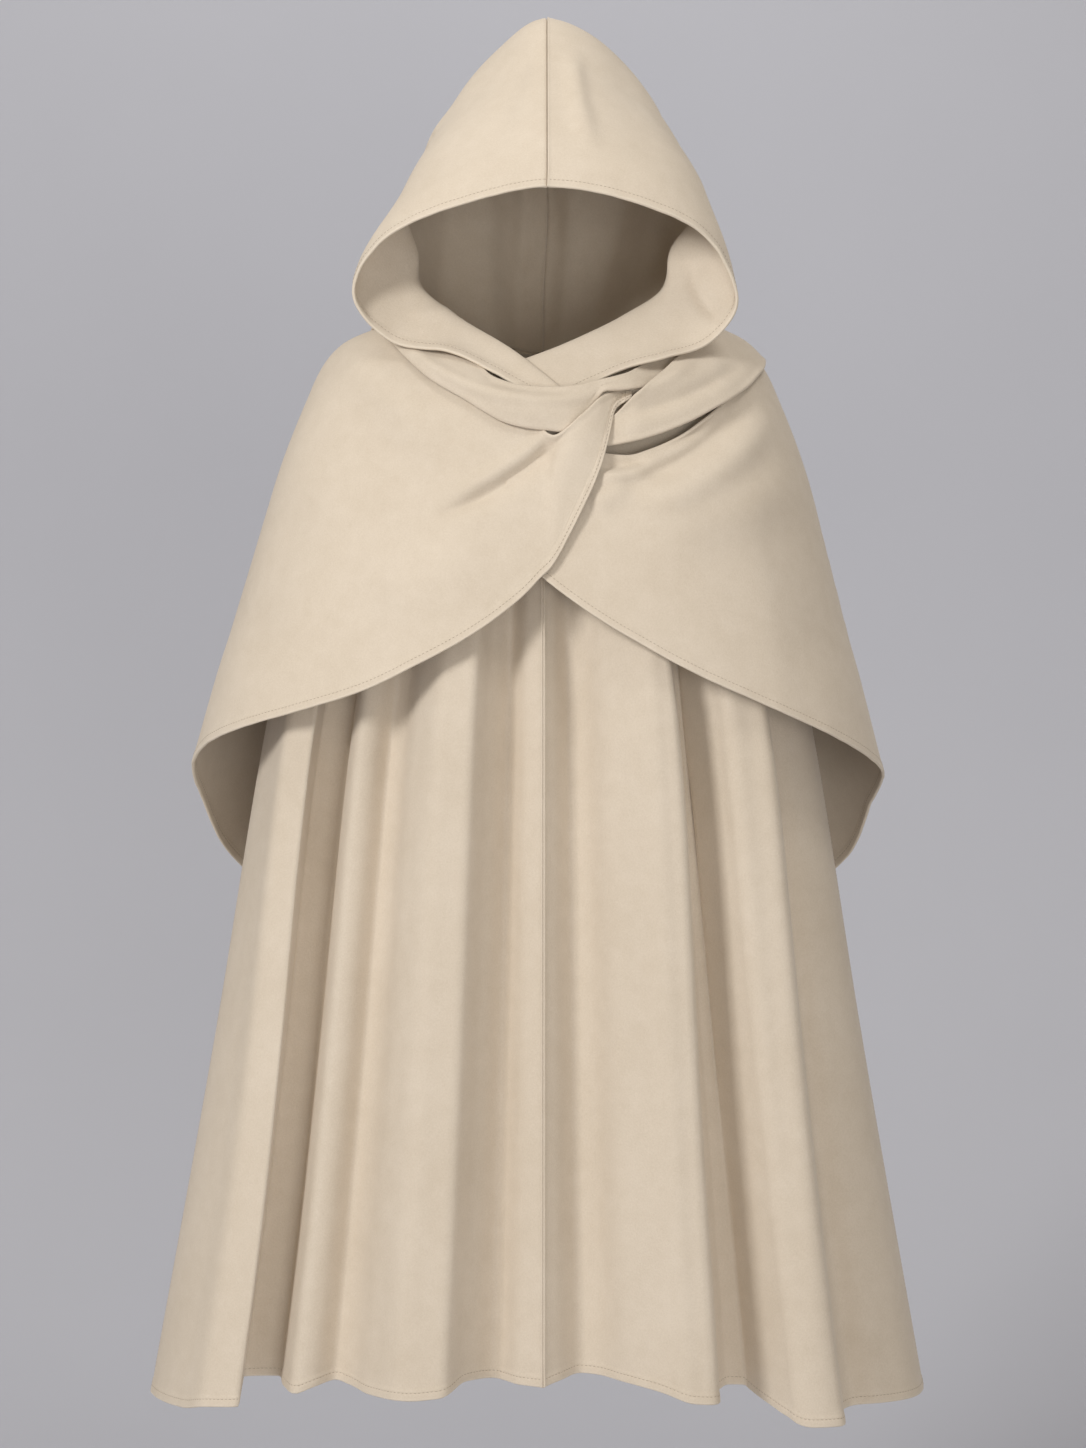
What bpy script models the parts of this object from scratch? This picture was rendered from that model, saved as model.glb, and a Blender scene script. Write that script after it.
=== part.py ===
"""Hooded cloak with a crossed shoulder cape: every cloth piece is one closed wall."""

import bpy
import numpy as np

for old in list(bpy.data.objects):
    bpy.data.objects.remove(old, do_unlink=True)

# Sizes are in millimetres, +Z up, the front faces -Y, and the origin is the base of the neck.
MM = 0.001
WALL = 2.0
SEAM_GAP = 0.3
ROUNDNESS = 2.25
ROWS_CLOSER_AT_NECK = 1.5
CLOTH = {"colour": (0.62, 0.53, 0.41, 1.0), "roughness": 0.92, "metallic": 0.0}

# Half width, front depth and back depth of the cape at each height.
CAPE_RINGS = (
    {"height": 60, "half_width": 60, "front": 30, "back": 56},
    {"height": 40, "half_width": 118, "front": 50, "back": 80},
    {"height": 24, "half_width": 170, "front": 70, "back": 96},
    {"height": 5, "half_width": 209, "front": 90, "back": 110},
    {"height": -20, "half_width": 230, "front": 113, "back": 124},
    {"height": -53, "half_width": 245, "front": 138, "back": 138},
    {"height": -112, "half_width": 268, "front": 158, "back": 158},
    {"height": -236, "half_width": 306, "front": 190, "back": 192},
    {"height": -434, "half_width": 362, "front": 225, "back": 236},
    {"height": -660, "half_width": 415, "front": 250, "back": 275},
)

# The same for the long body under the cape.
BODY_RINGS = (
    {"height": 60, "half_width": 60, "front": 28, "back": 50},
    {"height": 26, "half_width": 112, "front": 50, "back": 70},
    {"height": 12, "half_width": 160, "front": 64, "back": 86},
    {"height": -8, "half_width": 196, "front": 82, "back": 97},
    {"height": -32, "half_width": 213, "front": 102, "back": 110},
    {"height": -64, "half_width": 224, "front": 124, "back": 124},
    {"height": -120, "half_width": 232, "front": 142, "back": 144},
    {"height": -236, "half_width": 254, "front": 158, "back": 166},
    {"height": -387, "half_width": 286, "front": 164, "back": 182},
    {"height": -700, "half_width": 338, "front": 166, "back": 194},
    {"height": -1110, "half_width": 412, "front": 168, "back": 204},
)

# The oval neck line of the cape and of the hood.
CAPE_NECK = {"half_width": 118.0, "front": 112.0, "back": 106.0}
HOOD_NECK = {"half_width": 117.3, "front": 111.3, "back": 105.3}
HOOD_NECK_RISE = 1.8
# The hood stands slightly off the middle towards +X.
HOOD_LEAN = {"by": 11.5, "seam_by": 4.5, "seam_reach": 60.0, "from_height": 60.0, "to_height": 170.0}
# The body hangs from the neck line under the cape, first close to it and then further in.
BODY_UNDER_CAPE = {"at_neck": 2.8, "further": 7.7, "over": 36.0}
BODY_FREE = {"from_height": -45.0, "to_height": -130.0}


def slopes(stations, values):
    """Slopes of a smooth curve that doesn't overshoot its stations."""
    step = np.diff(stations)[:, None]
    rise = np.diff(values, axis=0) / step
    out = np.zeros_like(values)
    before, after = rise[:-1], rise[1:]
    weight_a = 2 * step[1:] + step[:-1]
    weight_b = step[1:] + 2 * step[:-1]
    same = before * after > 0
    safe_before = np.where(same, before, 1.0)
    safe_after = np.where(same, after, 1.0)
    mean = (weight_a + weight_b) / (weight_a / safe_before + weight_b / safe_after)
    out[1:-1] = np.where(same, mean, 0.0)
    out[0], out[-1] = rise[0], rise[-1]
    return out


def curve(stations, values, at):
    """Smooth value or values at each place, through the stations."""
    stations = np.asarray(stations, float)
    values = np.asarray(values, float)
    flat = values.ndim == 1
    if flat:
        values = values[:, None]
    slope = slopes(stations, values)
    at = np.asarray(at, float)
    cell = np.clip(np.searchsorted(stations, at) - 1, 0, len(stations) - 2)
    width = stations[cell + 1] - stations[cell]
    t = ((at - stations[cell]) / width)[..., None]
    width = width[..., None]
    result = (
        (2 * t**3 - 3 * t**2 + 1) * values[cell]
        + (t**3 - 2 * t**2 + t) * width * slope[cell]
        + (3 * t**2 - 2 * t**3) * values[cell + 1]
        + (t**3 - t**2) * width * slope[cell + 1]
    )
    return result[..., 0] if flat else result


def column(table, name):
    return np.array([row[name] for row in table], float)


def ease(low, high, at):
    t = np.clip((np.asarray(at, float) - low) / (high - low), 0.0, 1.0)
    return t * t * (3 - 2 * t)


def ring_sizes(rings, height):
    heights = column(rings, "height")[::-1]
    names = ("half_width", "front", "back")
    sizes = np.stack([column(rings, name)[::-1] for name in names], axis=1)
    found = curve(heights, sizes, height)
    return found[..., 0], found[..., 1], found[..., 2]


def ring_point(rings, angle, height):
    """A place on the garment's form: 180 is the wearer's side at -X, 270 the front, 90 the back."""
    turn = np.radians(angle)
    wide, front, back = ring_sizes(rings, height)
    across, along = np.cos(turn), np.sin(turn)
    depth = np.where(along < 0, front, back)
    power = 2.0 / ROUNDNESS
    x = wide * np.sign(across) * np.abs(across) ** power
    y = depth * np.sign(along) * np.abs(along) ** power
    return np.stack([x, y, height + 0.0 * x], axis=-1)


def ring_normal(rings, angle, height):
    point = ring_point(rings, angle, height)
    wide, front, back = ring_sizes(rings, height)
    small = 0.5
    wide_up, front_up, back_up = ring_sizes(rings, height + small)
    wide_down, front_down, back_down = ring_sizes(rings, height - small)
    at_front = point[..., 1] < 0
    depth = np.where(at_front, front, back)
    depth_rise = np.where(at_front, front_up - front_down, back_up - back_down) / (2 * small)
    wide_rise = (wide_up - wide_down) / (2 * small)
    share_x = np.abs(point[..., 0]) / wide
    share_y = np.abs(point[..., 1]) / depth
    nx = np.sign(point[..., 0]) * share_x ** (ROUNDNESS - 1) / wide
    ny = np.sign(point[..., 1]) * share_y ** (ROUNDNESS - 1) / depth
    nz = -(share_x**ROUNDNESS * wide_rise / wide + share_y**ROUNDNESS * depth_rise / depth)
    normal = np.stack([nx, ny, nz], axis=-1)
    return normal / np.linalg.norm(normal, axis=-1, keepdims=True)


def lifted(rings, angle, height, lift):
    return ring_point(rings, angle, height) + ring_normal(rings, angle, height) * lift[..., None]


def standing_off(rings, angle, height, lift):
    """As lifted, for a place that ends up at the height given."""
    base = height
    for _ in range(4):
        base = height - ring_normal(rings, angle, base)[..., 2] * lift
    return lifted(rings, angle, base, lift)


def neck_height(rings, neck, angle):
    """Height at which the form passes through an upright oval, at each angle."""
    high = np.full(np.shape(angle), column(rings, "height").max() - 1.0)
    low = np.full(np.shape(angle), -100.0)
    for _ in range(40):
        middle = (high + low) / 2
        point = ring_point(rings, angle, middle)
        depth = np.where(point[..., 1] < 0, neck["front"], neck["back"])
        outside = (point[..., 0] / neck["half_width"]) ** 2 + (point[..., 1] / depth) ** 2 > 1
        low = np.where(outside, middle, low)
        high = np.where(outside, high, middle)
    return (high + low) / 2


def fall_length(rings, height):
    """Length of cloth from the top of the form down to a height, on the wearer's side."""
    levels = np.arange(60.0, -1200.0, -2.0)
    wide, _, _ = ring_sizes(rings, levels)
    run = np.concatenate([[0.0], np.cumsum(np.hypot(np.diff(wide), np.diff(levels)))])
    return levels, run, np.interp(-np.asarray(height, float), -levels, run)


def spread_rows(rings, top, bottom, share):
    """Heights that part the cloth evenly between its top and its hem."""
    levels, run, start = fall_length(rings, top)
    _, _, end = fall_length(rings, bottom)
    return np.interp(start + (end - start) * share, run, levels)


EDGES = {
    "first_row": (0, slice(None)),
    "last_row": (-1, slice(None)),
    "first_col": (slice(None), 0),
    "last_col": (slice(None), -1),
}


def leaning(points, lean):
    """The points moved towards +X, more with height and less near the crown seam."""
    aside = ease(0.0, lean["seam_reach"], np.abs(points[..., 0]))
    step = lean["seam_by"] + (lean["by"] - lean["seam_by"]) * aside
    points[..., 0] += step * ease(lean["from_height"], lean["to_height"], points[..., 2])
    return points


def cloth_wall(name, grid, seams=(), lean=None):
    """One closed wall of the cloth's thickness about a grid of points in millimetres.

    A seam is an edge of the grid, an axis and the place where both skins end on that axis.
    """
    rows, cols = grid.shape[:2]
    count = rows * cols
    index = np.arange(count).reshape(rows, cols)
    a = index[:-1, :-1].ravel()
    b = index[:-1, 1:].ravel()
    c = index[1:, 1:].ravel()
    d = index[1:, :-1].ravel()
    flat = grid.reshape(-1, 3)
    short = np.linalg.norm(flat[a] - flat[c], axis=1) < np.linalg.norm(flat[b] - flat[d], axis=1)
    first = np.where(short[:, None], np.stack([a, b, c], axis=1), np.stack([a, b, d], axis=1))
    second = np.where(short[:, None], np.stack([a, c, d], axis=1), np.stack([b, c, d], axis=1))
    skin = np.concatenate([first, second])
    facing = np.cross(flat[skin[:, 1]] - flat[skin[:, 0]], flat[skin[:, 2]] - flat[skin[:, 0]])
    facing /= np.linalg.norm(facing, axis=1, keepdims=True)
    normal = np.zeros_like(flat)
    for corner in range(3):
        np.add.at(normal, skin[:, corner], facing)
    normal /= np.linalg.norm(normal, axis=1, keepdims=True)
    normal = normal.reshape(grid.shape)
    outer = grid + normal * WALL / 2
    inner = grid - normal * WALL / 2
    for edge, axis, place in seams:
        outer[EDGES[edge] + (axis,)] = place
        inner[EDGES[edge] + (axis,)] = place
    if lean:
        outer = leaning(outer, lean)
        inner = leaning(inner, lean)
    faces = skin.tolist() + (skin[:, ::-1] + count).tolist()
    loop = np.concatenate([index[0, :-1], index[:-1, -1], index[-1, :0:-1], index[:0:-1, 0]])
    after = np.roll(loop, -1)
    faces += np.stack([after, loop, loop + count, after + count], axis=1).tolist()
    mesh = bpy.data.meshes.new(name)
    mesh.from_pydata((np.concatenate([outer.reshape(-1, 3), inner.reshape(-1, 3)]) * MM).tolist(), [], faces)
    mesh.update()
    item = bpy.data.objects.new(name, mesh)
    bpy.context.scene.collection.objects.link(item)
    for face in mesh.polygons:
        face.use_smooth = True
    mesh.materials.append(cloth_colour(name))
    return item


def cloth_colour(name):
    paint = bpy.data.materials.new(name + "_cloth")
    paint.use_nodes = True
    shader = paint.node_tree.nodes["Principled BSDF"]
    shader.inputs["Base Color"].default_value = CLOTH["colour"]
    shader.inputs["Roughness"].default_value = CLOTH["roughness"]
    shader.inputs["Metallic"].default_value = CLOTH["metallic"]
    paint.diffuse_color = CLOTH["colour"]
    return paint


# Folds of the long body. Across is the share of the half width, out is how far the cloth
# stands forward of the form at the hem, hem is the height of the hem there, and lean is what
# is added to across where the fold leaves the cape.
BODY_LEFT_FOLDS = (
    {"across": -1.0, "out": 0, "hem": -1075.5, "lean": 0},
    {"across": -0.95, "out": 6, "hem": -1076, "lean": 0},
    {"across": -0.87, "out": 20, "hem": -1075, "lean": -0.015},
    {"across": -0.80, "out": 37, "hem": -1068, "lean": -0.025},
    {"across": -0.762, "out": 42, "hem": -1065, "lean": -0.03},
    {"across": -0.735, "out": -26, "hem": -1046, "lean": -0.03},
    {"across": -0.700, "out": -38, "hem": -1046, "lean": -0.025},
    {"across": -0.650, "out": -6, "hem": -1050, "lean": -0.02},
    {"across": -0.605, "out": 13, "hem": -1053, "lean": -0.01},
    {"across": -0.575, "out": 7, "hem": -1048, "lean": -0.01},
    {"across": -0.530, "out": -19, "hem": -1043, "lean": -0.01},
    {"across": -0.490, "out": -13, "hem": -1046, "lean": 0},
    {"across": -0.420, "out": 13, "hem": -1051, "lean": 0},
    {"across": -0.320, "out": 36, "hem": -1052, "lean": 0},
    {"across": -0.255, "out": 36, "hem": -1049, "lean": 0},
    {"across": -0.185, "out": -4, "hem": -1038, "lean": 0},
    {"across": -0.125, "out": -25, "hem": -1039, "lean": 0},
    {"across": -0.055, "out": 2, "hem": -1041, "lean": 0},
    {"across": 0.0, "out": 11, "hem": -1042, "lean": 0},
)
BODY_RIGHT_FOLDS = (
    {"across": 0.0, "out": 11, "hem": -1042, "lean": 0},
    {"across": 0.035, "out": 0, "hem": -1038, "lean": 0},
    {"across": 0.095, "out": -25, "hem": -1034, "lean": 0},
    {"across": 0.145, "out": -19, "hem": -1035, "lean": 0},
    {"across": 0.220, "out": 6, "hem": -1039, "lean": 0},
    {"across": 0.300, "out": 25, "hem": -1046, "lean": 0.01},
    {"across": 0.370, "out": 38, "hem": -1055, "lean": 0.02},
    {"across": 0.408, "out": 36, "hem": -1056, "lean": 0.02},
    {"across": 0.445, "out": -8, "hem": -1054, "lean": 0.02},
    {"across": 0.490, "out": -34, "hem": -1050, "lean": 0.01},
    {"across": 0.555, "out": -34, "hem": -1052, "lean": 0},
    {"across": 0.592, "out": 17, "hem": -1074, "lean": 0},
    {"across": 0.650, "out": 38, "hem": -1083, "lean": 0},
    {"across": 0.705, "out": 40, "hem": -1083, "lean": 0.015},
    {"across": 0.760, "out": 2, "hem": -1078, "lean": 0.02},
    {"across": 0.810, "out": -15, "hem": -1076, "lean": 0.015},
    {"across": 0.870, "out": -2, "hem": -1074, "lean": 0.01},
    {"across": 0.950, "out": 3, "hem": -1074, "lean": 0},
    {"across": 1.0, "out": 0, "hem": -1073, "lean": 0},
)
BODY_BACK_FOLDS = (
    {"across": 1.0, "out": 0, "hem": -1073, "lean": 0},
    {"across": 0.93, "out": 4, "hem": -1075, "lean": 0},
    {"across": 0.80, "out": 18, "hem": -1078, "lean": 0},
    {"across": 0.66, "out": -16, "hem": -1072, "lean": 0},
    {"across": 0.46, "out": 20, "hem": -1079, "lean": 0},
    {"across": 0.27, "out": -14, "hem": -1073, "lean": 0},
    {"across": 0.02, "out": 20, "hem": -1080, "lean": 0},
    {"across": -0.24, "out": -15, "hem": -1073, "lean": 0},
    {"across": -0.45, "out": 18, "hem": -1079, "lean": 0},
    {"across": -0.65, "out": -16, "hem": -1072, "lean": 0},
    {"across": -0.80, "out": 16, "hem": -1078, "lean": 0},
    {"across": -0.93, "out": 4, "hem": -1076, "lean": 0},
    {"across": -1.0, "out": 0, "hem": -1075.5, "lean": 0},
)
# How much of each body fold shows at a height.
FOLD_GROWTH = (
    {"height": -1110, "share": 1.0},
    {"height": -700, "share": 0.86},
    {"height": -387, "share": 0.84},
    {"height": -257, "share": 0.60},
    {"height": -140, "share": 0.0},
    {"height": 60, "share": 0.0},
)
FOLD_LEAN = {"from_height": -100.0, "full_height": -280.0, "still_height": -400.0, "to_height": -950.0}
RIGHT_NARROWING = {"share": 0.028, "from_height": -60.0, "to_height": -420.0}


def angle_of(across, side):
    """Angle on the form whose width share is the one given; side is -1 at the front."""
    turn = np.degrees(np.arccos(np.sign(across) * np.abs(across) ** (ROUNDNESS / 2)))
    return 360.0 - turn if side < 0 else turn


def narrowed(points):
    """The wearer's side at +X is slightly slimmer than the other."""
    share = RIGHT_NARROWING["share"] * ease(
        -RIGHT_NARROWING["from_height"], -RIGHT_NARROWING["to_height"], -points[..., 2]
    )
    right = ease(0.0, 150.0, points[..., 0])
    points[..., 0] *= 1.0 - share * right
    return points


def fold_places(folds, step):
    """Places across a body panel, close enough together to carry its folds."""
    edges = column(folds, "across")
    places = [edges[0]]
    for start, end in zip(edges[:-1], edges[1:]):
        count = max(1, int(np.ceil(abs(end - start) / step)))
        places += list(start + (end - start) * np.arange(1, count + 1) / count)
    return np.array(places)


def body_grid(folds, side, step, rows):
    places = fold_places(folds, step)
    order = np.argsort(column(folds, "across"))
    stations = column(folds, "across")[order]
    out = curve(stations, column(folds, "out")[order], places)
    hem = curve(stations, column(folds, "hem")[order], places)
    angle = angle_of(places, side)
    top = neck_height(CAPE_RINGS, CAPE_NECK, angle)
    share = np.linspace(0.0, 1.0, rows)[:, None] ** ROWS_CLOSER_AT_NECK
    height = spread_rows(BODY_RINGS, top[None, :], hem[None, :], share)
    lean = curve(stations, column(folds, "lean")[order], places)
    leaning_share = ease(-FOLD_LEAN["from_height"], -FOLD_LEAN["full_height"], -height)
    leaning_share = leaning_share * (1 - ease(-FOLD_LEAN["still_height"], -FOLD_LEAN["to_height"], -height))
    angles = angle_of(np.clip(places[None, :] + lean[None, :] * leaning_share, -1.0, 1.0), side)
    growth_heights = column(FOLD_GROWTH, "height")
    growth = curve(growth_heights, column(FOLD_GROWTH, "share"), height)
    inward = BODY_UNDER_CAPE["at_neck"] + BODY_UNDER_CAPE["further"] * ease(
        0.0, BODY_UNDER_CAPE["over"], top[None, :] - height
    )
    under = lifted(CAPE_RINGS, angles, height, -inward)
    free = ease(-BODY_FREE["from_height"], -BODY_FREE["to_height"], -height)[..., None]
    points = under * (1.0 - free) + ring_point(BODY_RINGS, angles, height) * free
    normal = ring_normal(BODY_RINGS, angles, height)
    level = normal.copy()
    level[..., 2] = 0.0
    level /= np.linalg.norm(level, axis=-1, keepdims=True)
    points = points + level * (growth * out[None, :])[..., None]
    return narrowed(points)


# Long soft folds of the cape's front: from one place to another, half width and height.
CAPE_CREASES = {
    "cape_left": (
        {"x0": -205, "z0": 0, "x1": -105, "z1": -120, "spread": 26, "rise": -6},
        {"x0": 4, "z0": -102, "x1": -70, "z1": -166, "spread": 13, "rise": 7},
        {"x0": -50, "z0": -156, "x1": -140, "z1": -180, "spread": 20, "rise": 6},
        {"x0": -60, "z0": -215, "x1": -170, "z1": -265, "spread": 30, "rise": -4},
    ),
    "cape_right": (
        {"x0": 56, "z0": -116, "x1": 160, "z1": -88, "spread": 7, "rise": -4},
        {"x0": 60, "z0": -122, "x1": 172, "z1": -84, "spread": 9, "rise": 5},
        {"x0": 60, "z0": -138, "x1": 108, "z1": -128, "spread": 8, "rise": -4},
        {"x0": 70, "z0": -160, "x1": 215, "z1": -62, "spread": 20, "rise": 5},
        {"x0": 95, "z0": -190, "x1": 250, "z1": -140, "spread": 28, "rise": -4},
    ),
}


def crease_lift(name, points):
    total = np.zeros(points.shape[:-1])
    for fold in CAPE_CREASES.get(name, ()):
        start = np.array([fold["x0"], fold["z0"]], float)
        run = np.array([fold["x1"], fold["z1"]], float) - start
        length = np.hypot(*run)
        run /= length
        rel_x = points[..., 0] - start[0]
        rel_z = points[..., 2] - start[1]
        along = (rel_x * run[0] + rel_z * run[1]) / length
        aside = rel_x * run[1] - rel_z * run[0]
        ends = ease(-0.25, 0.1, along) * (1.0 - ease(0.75, 1.25, along))
        shape = np.exp(-((aside / fold["spread"]) ** 2))
        total += fold["rise"] * ends * shape * (points[..., 1] < 0)
    return total


# Both halves of the cape, one row per line of cloth from the neck to the hem. Top is the
# height where the line starts, or nothing where it starts at the neck line, and lift is how
# far the cloth stands off the form.
CAPE_LEFT = (
    {"top_angle": 90, "top": None, "top_lift": 0, "hem_angle": 90, "hem": -618, "hem_lift": 0},
    {"top_angle": 112, "top": None, "top_lift": 0, "hem_angle": 112, "hem": -611, "hem_lift": 8},
    {"top_angle": 133, "top": None, "top_lift": 0, "hem_angle": 133, "hem": -577, "hem_lift": -4},
    {"top_angle": 150, "top": None, "top_lift": 0, "hem_angle": 150, "hem": -524, "hem_lift": 3},
    {"top_angle": 166, "top": None, "top_lift": 0, "hem_angle": 166, "hem": -461, "hem_lift": 4},
    {"top_angle": 180, "top": None, "top_lift": 0, "hem_angle": 180, "hem": -431, "hem_lift": 3},
    {"top_angle": 196, "top": None, "top_lift": 0, "hem_angle": 194, "hem": -409, "hem_lift": 1},
    {"top_angle": 214, "top": None, "top_lift": 0, "hem_angle": 211, "hem": -391, "hem_lift": 1},
    {"top_angle": 231, "top": None, "top_lift": 0, "hem_angle": 228, "hem": -373, "hem_lift": 0},
    {"top_angle": 244, "top": None, "top_lift": 1, "hem_angle": 241, "hem": -354, "hem_lift": 1},
    {"top_angle": 251, "top": -18, "top_lift": 3.5, "hem_angle": 251, "hem": -328, "hem_lift": 5},
    {"top_angle": 257, "top": -42, "top_lift": 5.5, "hem_angle": 259, "hem": -302, "hem_lift": 6},
    {"top_angle": 263, "top": -68, "top_lift": 5.5, "hem_angle": 264.4, "hem": -278, "hem_lift": 6},
    {"top_angle": 268, "top": -84, "top_lift": 5.5, "hem_angle": 268, "hem": -257, "hem_lift": 6},
    {"top_angle": 270.2, "top": -93, "top_lift": 5.4, "hem_angle": 270, "hem": -240, "hem_lift": 6.5},
    {"top_angle": 271.5, "top": -100, "top_lift": 12.5, "hem_angle": 271, "hem": -232, "hem_lift": 7},
    {"top_angle": 273.4, "top": -93, "top_lift": 17, "hem_angle": 273.4, "hem": -204, "hem_lift": 8},
    {"top_angle": 275.6, "top": -82.5, "top_lift": 17.5, "hem_angle": 276, "hem": -174, "hem_lift": 10},
    {"top_angle": 278, "top": -72, "top_lift": 17, "hem_angle": 278.6, "hem": -145, "hem_lift": 11},
    {"top_angle": 280, "top": -62.5, "top_lift": 15.5, "hem_angle": 280.6, "hem": -119, "hem_lift": 11.5},
    {"top_angle": 281.9, "top": -57, "top_lift": 11.5, "hem_angle": 282, "hem": -97, "hem_lift": 11.5},
    {"top_angle": 284.2, "top": -53, "top_lift": 7, "hem_angle": 283, "hem": -79, "hem_lift": 9.6},
    {"top_angle": 286.4, "top": -50.5, "top_lift": 5.5, "hem_angle": 284.5, "hem": -69.5, "hem_lift": 7},
    {"top_angle": 288.6, "top": -50, "top_lift": 5.2, "hem_angle": 288, "hem": -61.5, "hem_lift": 5.2},
)
CAPE_RIGHT = (
    {"top_angle": 265.5, "top": None, "top_lift": 0, "hem_angle": 264, "hem": -168, "hem_lift": 0},
    {"top_angle": 267, "top": None, "top_lift": 0, "hem_angle": 266, "hem": -200, "hem_lift": 0},
    {"top_angle": 268.6, "top": None, "top_lift": 0, "hem_angle": 268, "hem": -224, "hem_lift": 0},
    {"top_angle": 270.5, "top": None, "top_lift": 0, "hem_angle": 270, "hem": -242.6, "hem_lift": 0},
    {"top_angle": 275, "top": -60, "top_lift": 0, "hem_angle": 274.6, "hem": -268, "hem_lift": 0},
    {"top_angle": 280, "top": -116, "top_lift": 2, "hem_angle": 280.4, "hem": -292, "hem_lift": 0},
    {"top_angle": 285, "top": -117, "top_lift": 4, "hem_angle": 285.4, "hem": -309, "hem_lift": 0},
    {"top_angle": 291, "top": -110, "top_lift": 6, "hem_angle": 291, "hem": -326.5, "hem_lift": 0},
    {"top_angle": 298, "top": -98, "top_lift": 6.5, "hem_angle": 298, "hem": -345, "hem_lift": 0},
    {"top_angle": 305, "top": -82, "top_lift": 6, "hem_angle": 305, "hem": -360, "hem_lift": 0},
    {"top_angle": 313, "top": -63, "top_lift": 4, "hem_angle": 313, "hem": -376, "hem_lift": 1},
    {"top_angle": 321, "top": -44, "top_lift": 2, "hem_angle": 320, "hem": -388, "hem_lift": 0},
    {"top_angle": 330, "top": -20, "top_lift": 1, "hem_angle": 328, "hem": -401, "hem_lift": 0},
    {"top_angle": 340, "top": 8, "top_lift": 0, "hem_angle": 338, "hem": -416, "hem_lift": 0},
    {"top_angle": 350, "top": None, "top_lift": 0, "hem_angle": 349, "hem": -430, "hem_lift": 0},
    {"top_angle": 362, "top": None, "top_lift": 0, "hem_angle": 361, "hem": -443, "hem_lift": 0},
    {"top_angle": 375, "top": None, "top_lift": 0, "hem_angle": 375, "hem": -468, "hem_lift": 0},
    {"top_angle": 391, "top": None, "top_lift": 0, "hem_angle": 391, "hem": -530, "hem_lift": 3},
    {"top_angle": 408, "top": None, "top_lift": 0, "hem_angle": 408, "hem": -578, "hem_lift": -4},
    {"top_angle": 429, "top": None, "top_lift": 0, "hem_angle": 429, "hem": -611, "hem_lift": 8},
    {"top_angle": 450, "top": None, "top_lift": 0, "hem_angle": 450, "hem": -618, "hem_lift": 0},
)


def station_walk(count, extra):
    """Even steps along a table's rows, with the same number between each pair of rows."""
    return np.linspace(0, count - 1, (count - 1) * extra + 1)


def turning_walk(table, name, widest):
    """Steps along a table's rows, no step turning further about the garment than the widest."""
    angles = column(table, name)
    walk = [0.0]
    for row, turn in enumerate(np.abs(np.diff(angles))):
        count = max(1, int(np.ceil(turn / widest)))
        walk += list(row + np.arange(1, count + 1) / count)
    return np.array(walk)


def cape_grid(name, table, rows, widest):
    walk = turning_walk(table, "top_angle", widest)
    places = np.arange(len(table))
    neck = neck_height(CAPE_RINGS, CAPE_NECK, column(table, "top_angle"))
    filled = [dict(row, top=neck[n] if row["top"] is None else row["top"]) for n, row in enumerate(table)]
    take = {key: curve(places, column(filled, key), walk) for key in filled[0]}
    at_neck = np.array([row["top"] is None for row in table])
    held = at_neck[np.floor(walk).astype(int)] & at_neck[np.ceil(walk).astype(int)]
    neck = neck_height(CAPE_RINGS, CAPE_NECK, take["top_angle"])
    top = np.where(held, neck, take["top"])
    share = np.linspace(0.0, 1.0, rows)[:, None] ** ROWS_CLOSER_AT_NECK
    height = spread_rows(CAPE_RINGS, top[None, :], take["hem"][None, :], share)
    fall = (top[None, :] - height) / (top - take["hem"])[None, :]
    angle = take["top_angle"] + (take["hem_angle"] - take["top_angle"]) * share
    lift = take["top_lift"] + (take["hem_lift"] - take["top_lift"]) * ease(0.0, 1.0, fall)
    base = ring_point(CAPE_RINGS, angle, height)
    grown = ease(0.0, 0.2, share) * (1.0 - 0.6 * ease(0.75, 1.0, share))
    lift = lift + crease_lift(name, base) * grown
    return narrowed(standing_off(CAPE_RINGS, angle, height, lift))


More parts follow.
